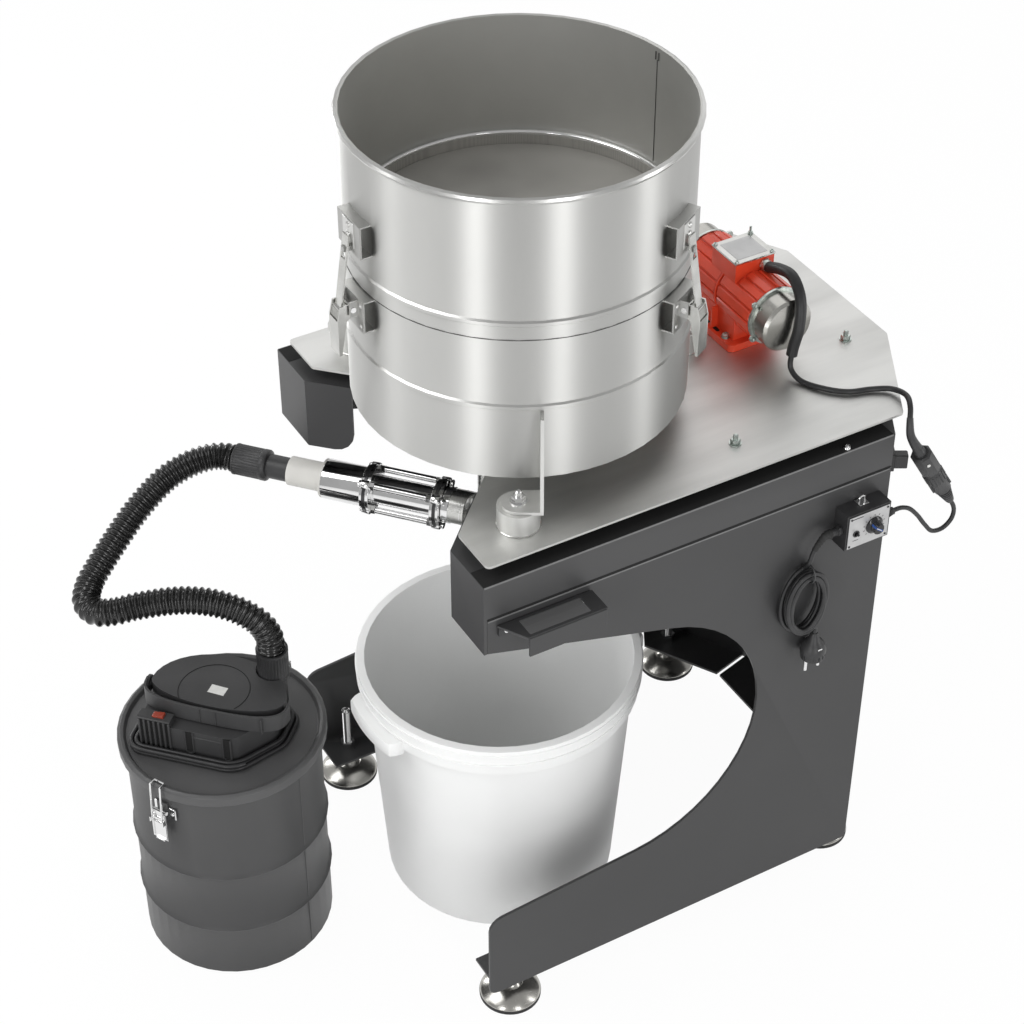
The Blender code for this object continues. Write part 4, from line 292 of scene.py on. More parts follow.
def joined(name, parts):
    """Several shapes as one mesh."""
    points, faces = [], []
    for p, f in parts:
        start = len(points)
        points += list(p)
        faces += [tuple(i + start for i in face) for face in f]
    return mesh_object(name, points, faces, smooth=True)


def spin(turn, axis):
    return Matrix.Rotation(turn, 4, axis)


def upright(place, turn):
    """The matrix of a turn about the upright axis and a move to a place."""
    return Matrix.Translation(place) @ spin(turn, "Z")


def piece(name, parts, look, body="deck", replaces=(), at=None):
    """Several shapes as one dressed mesh, moved by a matrix if one is given."""
    if at is not None:
        parts = [moved(part, at) for part in parts]
    return dress(joined(name, parts), look, body, replaces)


def moved(shape, matrix):
    points, faces = shape
    return [matrix @ Vector(p) for p in points], faces


def block(low, high):
    (x0, y0, z0), (x1, y1, z1) = low, high
    points = [(x, y, z) for x in (x0, x1) for y in (y0, y1) for z in (z0, z1)]
    faces = [(0, 1, 3, 2), (4, 6, 7, 5), (0, 4, 5, 1), (2, 3, 7, 6), (0, 2, 6, 4), (1, 5, 7, 3)]
    return points, faces


def soft_block(low, high, edge):
    """A block with chamfered edges."""
    (x0, y0, z0), (x1, y1, z1) = low, high
    rings = []
    for z, inset in ((z0, edge), (z0 + edge, 0), (z1 - edge, 0), (z1, edge)):
        e, i = edge, inset
        ring = [
            (x0 + i + e, y0 + i, z), (x1 - i - e, y0 + i, z), (x1 - i, y0 + i + e, z), (x1 - i, y1 - i - e, z),
            (x1 - i - e, y1 - i, z), (x0 + i + e, y1 - i, z), (x0 + i, y1 - i - e, z), (x0 + i, y0 + i + e, z),
        ]
        rings.append(ring)
    return skin(rings)


def skin(rings, closed=False, caps=True):
    """A surface over rings of equally many points."""
    n = len(rings[0])
    points = [p for ring in rings for p in ring]
    faces = []
    last = len(rings) if closed else len(rings) - 1
    for i in range(last):
        j = (i + 1) % len(rings)
        faces += [(i * n + k, i * n + (k + 1) % n, j * n + (k + 1) % n, j * n + k) for k in range(n)]
    if caps and not closed:
        faces.append(tuple(reversed(range(n))))
        faces.append(tuple(range((len(rings) - 1) * n, len(rings) * n)))
    return points, faces


def turned(profile, sides=32, closed=False):
    """A shape turned round Z from (radius, height) points listed upwards; zero radii close it."""
    rings = []
    for r, z in profile:
        rings.append(
            [(max(r, 1e-6) * cos(tau * i / sides), max(r, 1e-6) * sin(tau * i / sides), z)
             for i in range(sides)]
        )
    return skin(rings, closed=closed)


def rod(start, end, radius, sides=20, edge=0.0):
    start, end = Vector(start), Vector(end)
    length = (end - start).length
    profile = [(radius - edge, 0), (radius, edge), (radius, length - edge), (radius - edge, length)]
    if not edge:
        profile = [(radius, 0), (radius, length)]
    turn = (end - start).to_track_quat("Z", "Y").to_matrix().to_4x4()
    return moved(turned(profile, sides), Matrix.Translation(start) @ turn)


def along(place, direction):
    """A matrix that takes +Z to a direction at a place."""
    turn = Vector(direction).to_track_quat("Z", "Y").to_matrix().to_4x4()
    return Matrix.Translation(Vector(place)) @ turn


def hexagon(radius, low, high):
    edge = radius * 0.1
    return turned([(radius * 0.88, low), (radius, low + edge), (radius, high - edge), (radius * 0.88, high)], 6)


def nut_and_stud(place, direction, size, stud, washer=0.0015):
    """A washer, a hexagon nut and a stud's end standing along a direction."""
    height = size * 0.85
    parts = [
        turned([(size * 1.25, 0), (size * 1.25, washer)], 28),
        hexagon(size, washer, washer + height),
        turned([(size * 0.52, 0), (size * 0.52, washer + height + stud - size * 0.2),
                (size * 0.3, washer + height + stud)], 16),
    ]
    return [moved(p, along(place, direction)) for p in parts]


def screw(place, direction, radius, height):
    """A round-headed screw with a recess."""
    head = [(radius, 0), (radius, height * 0.35), (radius * 0.85, height * 0.8), (radius * 0.5, height),
            (radius * 0.42, height), (radius * 0.36, height * 0.45), (0, height * 0.4)]
    return moved(turned(head, 20), along(place, direction))


def tube(points, radius, sides=12, closed=False, radii=None):
    """A round tube along points, its section carried along without twist."""
    points = [Vector(p) for p in points]
    count = len(points)
    side = None
    rings = []
    for i, p in enumerate(points):
        before = points[i - 1] if i or closed else p
        after = points[(i + 1) % count] if i < count - 1 or closed else p
        ahead = (after - before).normalized()
        if side is None:
            side = ahead.cross(Vector((0, 0, 1)))
            if side.length < 0.1:
                side = ahead.cross(Vector((0, 1, 0)))
        side = (side - ahead * side.dot(ahead)).normalized()
        up = ahead.cross(side)
        r = radii[i] if radii else radius
        rings.append(
            [p + (side * cos(tau * k / sides) + up * sin(tau * k / sides)) * r
             for k in range(sides)]
        )
    return skin(rings, closed=closed)


def smooth(route, spacing):
    """Evenly spaced points on a smooth curve through a route; the first and last stretches stay straight."""
    points = [Vector(p) for p in route]
    fine = [points[0]]
    for a, b, c, d in zip(points, points[1:], points[2:], points[3:]):
        t0, t1 = 0.0, (b - a).length ** 0.5
        t2 = t1 + (c - b).length ** 0.5
        t3 = t2 + (d - c).length ** 0.5
        for i in range(12):
            t = t1 + (t2 - t1) * i / 12
            p = a.lerp(b, (t - t0) / (t1 - t0))
            q = b.lerp(c, (t - t1) / (t2 - t1))
            s = c.lerp(d, (t - t2) / (t3 - t2))
            u = p.lerp(q, (t - t0) / (t2 - t0))
            v = q.lerp(s, (t - t1) / (t3 - t1))
            fine.append(u.lerp(v, (t - t1) / (t2 - t1)))
    fine += [points[-2], points[-1]]
    return spaced(fine, spacing)


def spaced(points, spacing):
    lengths = [0.0]
    for p, q in zip(points, points[1:]):
        lengths.append(lengths[-1] + (q - p).length)
    count = max(2, round(lengths[-1] / spacing))
    result = []
    j = 0
    for i in range(count + 1):
        want = lengths[-1] * i / count
        while j < len(points) - 2 and lengths[j + 1] < want:
            j += 1
        step = lengths[j + 1] - lengths[j]
        result.append(points[j].lerp(points[j + 1], (want - lengths[j]) / step if step else 0))
    return result


def cord_curve(name, points, radius, look, body, replaces=()):
    """A cord as one open spline along its points."""
    data = bpy.data.curves.new(name, "CURVE")
    data.dimensions = "3D"
    data.bevel_depth = radius
    data.bevel_resolution = 3
    data.use_fill_caps = True
    spline = data.splines.new("POLY")
    spline.points.add(len(points) - 1)
    for point, place in zip(spline.points, points):
        point.co = (*place, 1)
    spline.use_smooth = True
    obj = bpy.data.objects.new(name, data)
    bpy.context.scene.collection.objects.link(obj)
    return dress(obj, look, body, replaces)


def sieve(x, y, z):
    """A point given from the sieve's axis."""
    return Vector((x, y + SIEVE_BACK, z))


def round_sieve(radius, degrees, z, side=0.0):
    """A point at a radius and azimuth round the sieve's axis, moved sideways."""
    turn = radians(degrees)
    out = Vector((cos(turn), sin(turn), 0))
    return sieve(0, 0, z) + out * radius + Vector((-out.y, out.x, 0)) * side


def head_point(u, v, z):
    c, s = cos(HEAD_TURN), sin(HEAD_TURN)
    return HEAD + Vector((u * c - v * s, u * s + v * c, z))


HEAD_FRAME = upright(HEAD, HEAD_TURN)
PIPE_FRAME = upright((0, SIEVE_BACK, PIPE_HEIGHT), PIPE_TURN) @ spin(pi / 2, "Y")


# Cords


def fillet_path(corners, steps=8):
    """A closed outline from (x, y, radius) corners, each rounded by its own arc."""
    path = []
    count = len(corners)
    for i, (x, y, radius) in enumerate(corners):
        here = Vector((x, y))
        a = (Vector(corners[i - 1][:2]) - here).normalized()
        b = (Vector(corners[(i + 1) % count][:2]) - here).normalized()
        half = a.angle(b) / 2
        middle = here + (a + b).normalized() * (radius / sin(half))
        start = here + a * (radius / tan(half)) - middle
        end = here + b * (radius / tan(half)) - middle
        sweep = start.angle_signed(end)
        for k in range(steps + 1):
            turn = -sweep * k / steps
            c, s = cos(turn), sin(turn)
            path.append(middle + Vector((start.x * c - start.y * s, start.x * s + start.y * c)))
    return path


HEAD_CORNERS = (
    (-0.088, -0.054, 0.006), (0.0375, -0.054, 0.024), (0.075, 0, 0.024), (0.075, 0.0396, 0.0144),
    (0.0375, 0.066, 0.024), (-0.0528, 0.066, 0.024), (-0.088, 0.0132, 0.024),
)


def head_loop(width):
    """The head's outline moved outwards by a width, as a closed path."""
    moved_corners = []
    count = len(HEAD_CORNERS)
    for i, (x, y, radius) in enumerate(HEAD_CORNERS):
        here = Vector((x, y))
        before = (here - Vector(HEAD_CORNERS[i - 1][:2])).normalized()
        after = (Vector(HEAD_CORNERS[(i + 1) % count][:2]) - here).normalized()
        out = Vector((before.y, -before.x)) + Vector((after.y, -after.x))
        out = out.normalized() * width / cos(before.angle(after) / 2)
        moved_corners.append((x + out.x, y + out.y, radius + width))
    return fillet_path(moved_corners)


def build_suction_hose():
    route = [
        (-0.2867, -0.2528, 0.575), (-0.2957, -0.2607, 0.575), (-0.3035, -0.272, 0.5748),
        (-0.3085, -0.289, 0.5738), (-0.311, -0.31, 0.5705), (-0.31, -0.342, 0.561),
        (-0.296, -0.388, 0.541), (-0.2787, -0.424, 0.523), (-0.257, -0.461, 0.505),
        (-0.241, -0.483, 0.494), (-0.219, -0.496, 0.487), (-0.1985, -0.491, 0.485),
        (-0.187, -0.474, 0.487), (-0.176, -0.445, 0.492), (-0.157, -0.409, 0.499),
        (-0.14, -0.384, 0.502), (-0.119, -0.359, 0.501), (-0.099, -0.337, 0.493),
        (-0.083, -0.32, 0.477), (-0.076, -0.313, 0.456), (-0.076, -0.313, 0.4406),
    ]
    route = [sieve(*p) for p in route]
    pitch = 0.008
    path = smooth(route, pitch / 8)
    shape = (0.0, 0.1, 0.45, 0.88, 1.0, 0.88, 0.45, 0.1)
    radii = [0.0148 + 0.0032 * shape[i % 8] for i in range(len(path))]
    hose = piece("ribbed_hose", [tube(path, 0.018, 28, radii=radii)], "hose", "stand", ["suction_hose"])


def build_cuffs():
    """Fluted cuffs at both ends of the hose."""
    def fluted(profile, flutes=30):
        sides = flutes * 4
        rings = []
        for r, z, depth in profile:
            ring = []
            for i in range(sides):
                wave = depth * (0.5 - 0.5 * cos(tau * i / 4))
                turn = tau * i / sides
                ring.append(((r - wave) * cos(turn), (r - wave) * sin(turn), z))
            rings.append(ring)
        return skin(rings, caps=False)

    front = [
        (0.0138, 0.3065, 0), (0.0158, 0.3065, 0), (0.0158, 0.335, 0), (0.0196, 0.3364, 0), (0.0205, 0.338, 0),
        (0.0205, 0.344, 0), (0.0202, 0.345, 0.0009), (0.0202, 0.379, 0.0009), (0.0205, 0.38, 0),
        (0.0205, 0.3818, 0), (0.017, 0.3818, 0), (0.0138, 0.37, 0), (0.0138, 0.3065, 0),
    ]
    piece("fluted_cuff_front", [fluted(front)], "plastic", "deck", ["hose_cuff_front"], at=PIPE_FRAME)
    rear = [
        (0.0138, 0.3943, 0), (0.0186, 0.3943, 0), (0.0203, 0.396, 0), (0.0205, 0.4, 0), (0.0202, 0.4012, 0.001),
        (0.0202, 0.434, 0.001), (0.0205, 0.4352, 0), (0.0205, 0.4402, 0), (0.0175, 0.4402, 0), (0.0138, 0.43, 0),
        (0.0138, 0.3943, 0),
    ]
    at = HEAD_FRAME @ Matrix.Translation((0.053, 0.056, 0))
    piece("fluted_cuff_rear", [fluted(rear)], "plastic", "stand", ["hose_cuff_rear"], at=at)


def build_motor_cable():
    route = [
        (0.0258, 0.33, 0.861), (0.034, 0.33, 0.861), (0.054, 0.333, 0.868), (0.08, 0.333, 0.872),
        (0.106, 0.3275, 0.858), (0.1175, 0.3205, 0.826), (0.117, 0.314, 0.792), (0.121, 0.3105, 0.771),
        (0.139, 0.312, 0.7636), (0.166, 0.326, 0.7636), (0.187, 0.348, 0.7636), (0.197, 0.376, 0.7636),
        (0.21, 0.396, 0.765), (0.233, 0.4, 0.769), (0.253, 0.391, 0.768), (0.265, 0.383, 0.756),
        (0.27, 0.382, 0.741), (0.272, 0.3869, 0.7286), (0.2725, 0.392, 0.72),
    ]
    path = smooth([sieve(*p) for p in route], 0.003)
    cable = cord_curve("motor_flex", path, 0.0035, "cable", "deck", replaces=["motor_cable"])
    covered = [p for p in path if p.z > 0.785]
    radii = [0.0066 if i < 2 else 0.007 for i in range(len(covered))]
    sleeve = piece("cable_sleeve", [tube(covered[3:], 0.007, 24, radii=radii[3:])], "cable", "deck")
    relief = path[-16:]
    radii = [0.004 + 0.0024 * i / 15 for i in range(16)]
    boot = piece("connector_boot", [tube(relief, 0.006, 20, radii=radii)], "plastic", "deck")
    gland = [hexagon(0.008, 0, 0.004), turned([(0.0076, 0.004), (0.0076, 0.007), (0.007, 0.009)], 24)]
    piece("cable_gland", gland, "zinc", at=along(path[0], (1, 0, 0)))
    build_connector()


def build_connector():
    """The in-line plug and socket that hangs beside the stand's rear corner."""
    start, end = sieve(0.2725, 0.392, 0.72), sieve(0.278, 0.452, 0.619)
    axis = (end - start).normalized()
    length = (end - start).length
    side = Vector((0.647, -0.507, 0.569))
    side = (side - axis * side.dot(axis)).normalized()
    up = axis.cross(side)
    frame_at = Matrix((
        (side.x, up.x, axis.x, start.x), (side.y, up.y, axis.y, start.y), (side.z, up.z, axis.z, start.z),
        (0, 0, 0, 1),
    ))
    flat = frame_at @ spin(radians(22.5), "Z")
    collar = [(0.011, 0.013), (0.0137, 0.015), (0.0137, 0.046), (0.0128, 0.048)]
    parts = [
        moved(turned([(0.006, 0.0), (0.0066, 0.001), (0.0078, 0.013), (0.006, 0.015)], 24), frame_at),
        moved(turned(collar, 8), flat),
        moved(turned([(0.0122, 0.047), (0.0122, 0.05), (0.0128, 0.051), (0.013, 0.056), (0.0128, 0.069),
                      (0.0116, 0.071), (0.011, 0.09), (0.0085, 0.092)], 32), frame_at),
        moved(turned([(0.0085, 0.091), (0.0072, 0.104), (0.0058, 0.115), (0.005, length)], 24), frame_at),
    ]
    for i in range(5):
        z = 0.093 + i * 0.0042
        r = 0.0096 - i * 0.0008
        parts.append(moved(turned([(r - 0.0015, z), (r, z + 0.0006), (r, z + 0.0022), (r - 0.0015, z + 0.0028)], 24),
                           frame_at))
    for k in range(16):
        rib = block((0.012, -0.0008, 0.0525), (0.0134, 0.0008, 0.0675))
        parts.append(moved(rib, frame_at @ spin(tau * k / 16, "Z")))
    for y in (-0.0115, 0.0115):
        grip = soft_block((-0.004, y - 0.0015, 0.066), (0.004, y + 0.0015, 0.086), 0.0006)
        parts.append(moved(grip, frame_at))
    body = piece("connector_body", parts, "plastic", "deck", ["cable_connector"])
    dot = rod((0, 0, 0.026), (0.0006, 0, 0.026), 0.0022, 16)
    dot_at = Matrix.Translation(side * 0.0127) @ frame_at
    dot = piece("connector_dot", [dot], "label", "deck", at=dot_at)
    dot.parent = body
    dot.matrix_parent_inverse = body.matrix_world.inverted()
    normal = Vector((0.4995, 0.8663, 0))
    root = sieve(0.244, 0.3758, 0.69)
    across = Vector((0.8663, -0.4995, 0))
    place = Matrix((
        (across.x, normal.x, 0, root.x), (across.y, normal.y, 0, root.y), (0, 0, 1, root.z), (0, 0, 0, 1),
    ))
    clip = [soft_block((-0.01, 0.0003, -0.013), (0.01, 0.006, 0.013), 0.001),
            soft_block((-0.004, 0.005, -0.01), (0.008, 0.022, 0.01), 0.001)]
    piece("connector_clip", clip, "plastic", "stand", at=place)
    return body


def build_control_cable():
    route = [
        (0.278, 0.452, 0.619), (0.2785, 0.4571, 0.6104), (0.278, 0.461, 0.598), (0.277, 0.459, 0.584),
        (0.276, 0.448, 0.574), (0.275, 0.433, 0.575), (0.2745, 0.42, 0.59), (0.2742, 0.405, 0.612),
        (0.274, 0.39, 0.628), (0.274, 0.376, 0.634), (0.274, 0.3663, 0.634),
    ]
    path = smooth([sieve(*p) for p in route], 0.004)
    cable = cord_curve("control_flex", path, 0.0029, "cable", "deck", replaces=["control_cable"])


def strain_relief(name, path, thick):
    """A ribbed rubber sleeve over a lead's first stretch, tapering towards the flex."""
    fine = spaced(path, 0.0011)
    radii = []
    for k in range(len(fine)):
        share = k / (len(fine) - 1)
        shaded_groove = 0.0005 if k % 4 in (2, 3) and 0.08 < share < 0.9 else 0.0
        radii.append(thick + (0.0036 - thick) * share - shaded_groove)
    return piece(name, [tube(fine, thick, 16, radii=radii)], "rubber", "stand")


def build_mains_lead():
    """From the controller's gland down to an oval hank of six turns, then to the hanging plug."""
    back, middle = 0.2445, 0.54
    lead = [
        sieve(0.274, 0.2737, 0.636), sieve(0.274, 0.267, 0.636), sieve(0.2752, 0.257, 0.629),
        sieve(0.276, 0.248, 0.617), sieve(0.2763, 0.2445, 0.605),
    ]
    turns = (  # half width, distance out and lean of each turn; the last leads on to the plug
        (0.0315, 0.2675, 0.002), (0.025, 0.2675, -0.0015), (0.028, 0.274, 0.001), (0.0205, 0.274, 0.0),
        (0.03, 0.2805, -0.002), (0.0235, 0.2805, 0.0015), (0.0235, 0.2805, 0.0),
    )
    steps = 28
    for i in range(6 * steps + 5):
        share = i / steps
        angle = pi / 2 + tau * share + 0.12
        wide, out, lean = turns[int(share)]
        next_wide, next_out, _ = turns[min(6, int(share) + 1)]
        ease = share - int(share)
        ease = ease * ease * (3 - 2 * ease)
        radius = wide + (next_wide - wide) * ease
        y = back + radius * cos(angle) + lean * sin(angle)
        z = middle + (radius + 0.0185) * sin(angle)
        lead.append(sieve(out + (next_out - out) * ease, y, z))
    tail = [
        sieve(0.2808, 0.2215, 0.556), sieve(0.2805, 0.22, 0.54), sieve(0.28, 0.225, 0.516),
        sieve(0.2795, 0.24, 0.4985), sieve(0.2785, 0.256, 0.4975), sieve(0.278, 0.262, 0.493),
        sieve(0.278, 0.262, 0.485), sieve(0.278, 0.262, 0.478),
    ]
    path = smooth(lead + tail, 0.003)
    flex = cord_curve("mains_flex", path, 0.003, "cable", "stand", replaces=["mains_lead"])
    centre = sieve(0.278, 0.262, 0)
    shell = [
        (0.0036, 0.485), (0.005, 0.483), (0.0075, 0.474), (0.012, 0.47), (0.0155, 0.464), (0.0165, 0.458),
        (0.0165, 0.456), (0.015, 0.4548), (0.015, 0.446), (0.0138, 0.4455), (0.0, 0.4455),
    ]
    parts = [moved(turned(shell[::-1], 36), Matrix.Translation(centre))]
    for k in range(14):
        rib = block((0.0148, -0.0008, 0.448), (0.016, 0.0008, 0.456))
        parts.append(moved(rib, upright(centre, tau * k / 14)))
    plug = piece("plug_body", parts, "plastic", "stand")
    pins = [rod(centre + Vector((0, y, 0.446)), centre + Vector((0, y, 0.4265)), 0.0024, 16, 0.0006)
            for y in (-0.0095, 0.0095)]
    for x in (centre.x - 0.0135, centre.x + 0.0135):
        pins.append(block((x - 0.0008, centre.y - 0.003, 0.4453), (x + 0.0008, centre.y + 0.003, 0.468)))
    contacts = piece("plug_pins", pins, "chrome", "stand")
    tie_points = []
    for k in range(24):
        turn = tau * k / 24
        tie_points.append(sieve(0.274 + 0.0125 * cos(turn), 0.2465 + 0.001 * sin(turn),
                                middle + 0.0455 + 0.0125 * sin(turn)))
    tie = piece("hank_tie", [tube(tie_points, 0.0011, 8, closed=True)], "plastic", "stand")
    relief = strain_relief("mains_strain_relief", path[:11], 0.0058)


def build_vacuum_flex():
    """The vacuum's lead: three and a half turns round the head's foot, with its plug behind."""
    loops = [head_loop(w) for w in (0.0063, 0.0125, 0.007, 0.0135)]
    heights = [LID_WELL + h for h in (0.0034, 0.0034, 0.0096, 0.0096)]
    count = len(loops[0])
    first = 5 * 9
    wound = []
    for turn in range(4):
        for k in range(count):
            share = k / count
            ease = max(0.0, (share - 0.75) / 0.25)
            ease = ease * ease * (3 - 2 * ease)
            if turn == 3 and share > 0.55:
                break
            i = (first + k) % count
            later = min(3, turn + 1)
            p = loops[turn][i].lerp(loops[later][i], ease)
            wound.append(head_point(p.x, p.y, heights[turn] + (heights[later] - heights[turn]) * ease))
    plug_y = 0.066 + 0.0012 + 0.01
    plug_z = LID_WELL + 0.013 + 0.01
    path = spaced(wound, 0.004)
    flex = cord_curve("vacuum_lead", path, 0.003, "cable", "stand", replaces=["vacuum_flex"])
    shell = [
        (0.0, -0.018), (0.0088, -0.018), (0.0096, -0.014), (0.0096, -0.004), (0.008, 0.004), (0.0052, 0.014),
        (0.0036, 0.02), (0.0, 0.02),
    ]
    at = HEAD_FRAME @ Matrix.Translation((0, plug_y, plug_z)) @ spin(pi / 2, "Y")
    plug = piece("vacuum_plug_body", [turned(shell, 28)], "plastic", "stand", at=at)
    pins = [moved(rod((s * 0.0057, 0, -0.018), (s * 0.0057, 0, -0.037), 0.0024, 14, 0.0006), at) for s in (-1, 1)]
    contacts = piece("vacuum_plug_pins", pins, "chrome", "stand")
    relief = strain_relief("vacuum_strain_relief", path[:8], 0.0042)


# CAD nodes that show: finish and softened edges


def finish_nodes():
    looks = {
        "drum": "hopper_ring lower_pan", "mesh": "sieve_mesh", "red": "motor_housing",
        "deck": "deck_plate support_bracket_1 support_bracket_2 support_bracket_3",
        "cap": "motor_cap_right motor_cap_left", "plastic": "control_box toggle_switch",
        "chrome": "sight_glass suction_sleeve lid_clip_1 lid_clip_2 clip_wire_1 clip_wire_2", "cream": "hose_adapter",
        "drum_paint": "canister", "lid_paint_painted_lighter": "canister_lid", "head": "vacuum_head carry_handle",
        "red_plastic": "vacuum_switch", "white": "bucket",
        "black_paint": "rear_panel top_frame side_panel_right side_panel_left handle_right handle_left",
    }
    looks = {name: look for look, names in looks.items() for name in names.split()}
    bevels = {
        0.0003: "suction_sleeve", 0.0004: "terminal_lid sight_glass", 0.0005: "toggle_switch hose_adapter",
        0.0006: "deck_plate side_panel_right side_panel_left rear_panel handle_right handle_left carry_handle "
                "vacuum_switch",
        0.0008: "canister_lid bucket", 0.001: "top_frame", 0.0012: "control_box vacuum_head", 0.0016: "motor_housing",
    }
    bevels = {name: width for width, names in bevels.items() for name in names.split()}
    for name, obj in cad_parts.items():
        look = looks.get(name)
        if look is None:
            look = {"foot": "chrome", "buffer": "rubber"}.get(name.split("_")[0], "steel")
        for i in range(max(1, len(obj.material_slots))):
            if obj.material_slots:
                obj.material_slots[i].material = M[look]
            else:
                obj.data.materials.append(M[look])
        if name in ("hopper_ring", "lower_pan"):
            obj.data.materials.append(M["inside"])
            obj.data.materials.append(M["bead"])
        for polygon in obj.data.polygons:
            polygon.use_smooth = True
            if name in ("hopper_ring", "lower_pan"):
                out = obj.matrix_world @ polygon.center - Vector((0, SIEVE_BACK, 0))
                out.z = 0
                if out.length < 0.1995 and polygon.normal.dot(out) < -0.05:
                    polygon.material_index = len(obj.data.materials) - 2
                elif abs(polygon.normal.z) > 0.2:
                    polygon.material_index = len(obj.data.materials) - 1
        weld = obj.modifiers.new("weld", "WELD")
        weld.merge_threshold = 0.00001
        width = bevels.get(name)
        if width:
            bevel = obj.modifiers.new("bevel", "BEVEL")
            bevel.width = width
            bevel.segments = 2
            bevel.limit_method = "ANGLE"
            bevel.angle_limit = radians(38)
        split = obj.modifiers.new("split", "EDGE_SPLIT")
        split.split_angle = radians(50 if width else 33)
        if width or name.startswith("support"):
            flat = obj.modifiers.new("flat", "WEIGHTED_NORMAL")
            flat.weight = 100
            flat.keep_sharp = True


# Details


def build_drum_details():
    seam = [block((0.19765 - 0.0004, -0.0003, 1.018), (0.1982, 0.0003, 1.15))]
    for side in (-1, 1):
        seam.append(block((0.1968, side * 0.0026 - 0.0005, 1.15), (0.1982, side * 0.0026 + 0.0005, 1.16)))
    at = SIEVE_AXIS @ spin(radians(97.5), "Z")
    piece("weld_seam", seam, "seam", at=at)
    # painted shade: a thin dark ring in the joint between the hopper and the pan
    joint_shade_ring = turned([(0.199, 0.9874), (0.2003, 0.9876), (0.2003, 0.9884), (0.199, 0.9886)], 160, closed=True)
    piece("joint_shade_line", [joint_shade_ring], "seam", at=SIEVE_AXIS)
    skirt = turned([(0.1917, 0.9785), (0.1976, 0.9785), (0.1976, 1.012), (0.1917, 1.012)], 128, closed=True)
    piece("gasket_skirt", [skirt], "mesh", "deck", ["screen_gasket"], at=SIEVE_AXIS)
    section = [(0.1946 + 0.0031 * cos(tau * k / 12), 1.0136 + 0.0031 * sin(tau * k / 12)) for k in range(12)]
    piece("gasket_bead", [turned(section, 160, closed=True)], "chrome", at=SIEVE_AXIS)
    rivet = [(0.0026, 0), (0.0024, 0.0008), (0.0014, 0.0014), (0.0, 0.0016)]
    big = [(0.0036, 0), (0.0033, 0.0011), (0.002, 0.0019), (0.0, 0.0022)]
    for i, angle in enumerate((-90, 30, 150)):
        at = SIEVE_AXIS @ spin(radians(angle), "Z")
        parts = [moved(soft_block((0.2122, -0.0125, 1.05), (0.2136, 0.0125, 1.082), 0.0004), at)]
        for z in (1.0755, 1.0645):
            parts.append(moved(turned(big, 16), at @ along((0.2136, 0, z), (1, 0, 0))))
        for z in (0.953, 0.98):
            for side in (-0.02, 0.02):
                parts.append(moved(turned(rivet, 16), at @ along((0.2125, side, z), (1, 0, 0))))
        piece(f"latch_rivets_{i + 1}", parts, "bead")
        heads = [rod((0.2195, side * 0.0152, 0.975), (0.2195, side * 0.0172, 0.975), 0.0034, 14) for side in (-1, 1)]
        piece(f"latch_pin_heads_{i + 1}", heads, "chrome", at=at)
    for i, angle in enumerate((-30, 90, 210)):
        place = round_sieve(0.232, angle, 0.7922)
        parts = nut_and_stud(place, UP, 0.008, 0.007, 0.0016)
        piece(f"pad_nut_{i + 1}", parts, "chrome")
        ring = [(0.0252, 0), (0.0258, 0.0006), (0.0258, 0.0012), (0.025, 0.0018)]
        weld = moved(turned(ring, 40), Matrix.Translation(round_sieve(0.232, angle, 0.7594)))
        piece(f"pad_weld_{i + 1}", [weld], "steel")
    studs = []
    for side in (-1, 1):
        for x, y in ((0.199, 0.178), (0.092, 0.414)):
            studs += nut_and_stud(sieve(side * x, y, 0.7594), UP, 0.0062, 0.0065, 0.0012)
    piece("deck_studs", studs, "zinc")
    bolts = [screw(sieve(x, 0.3, 0.742), UP, 0.0052, 0.0036) for x in (-0.2545, 0.2545)]
    piece("frame_bolts", bolts, "chrome", "stand")


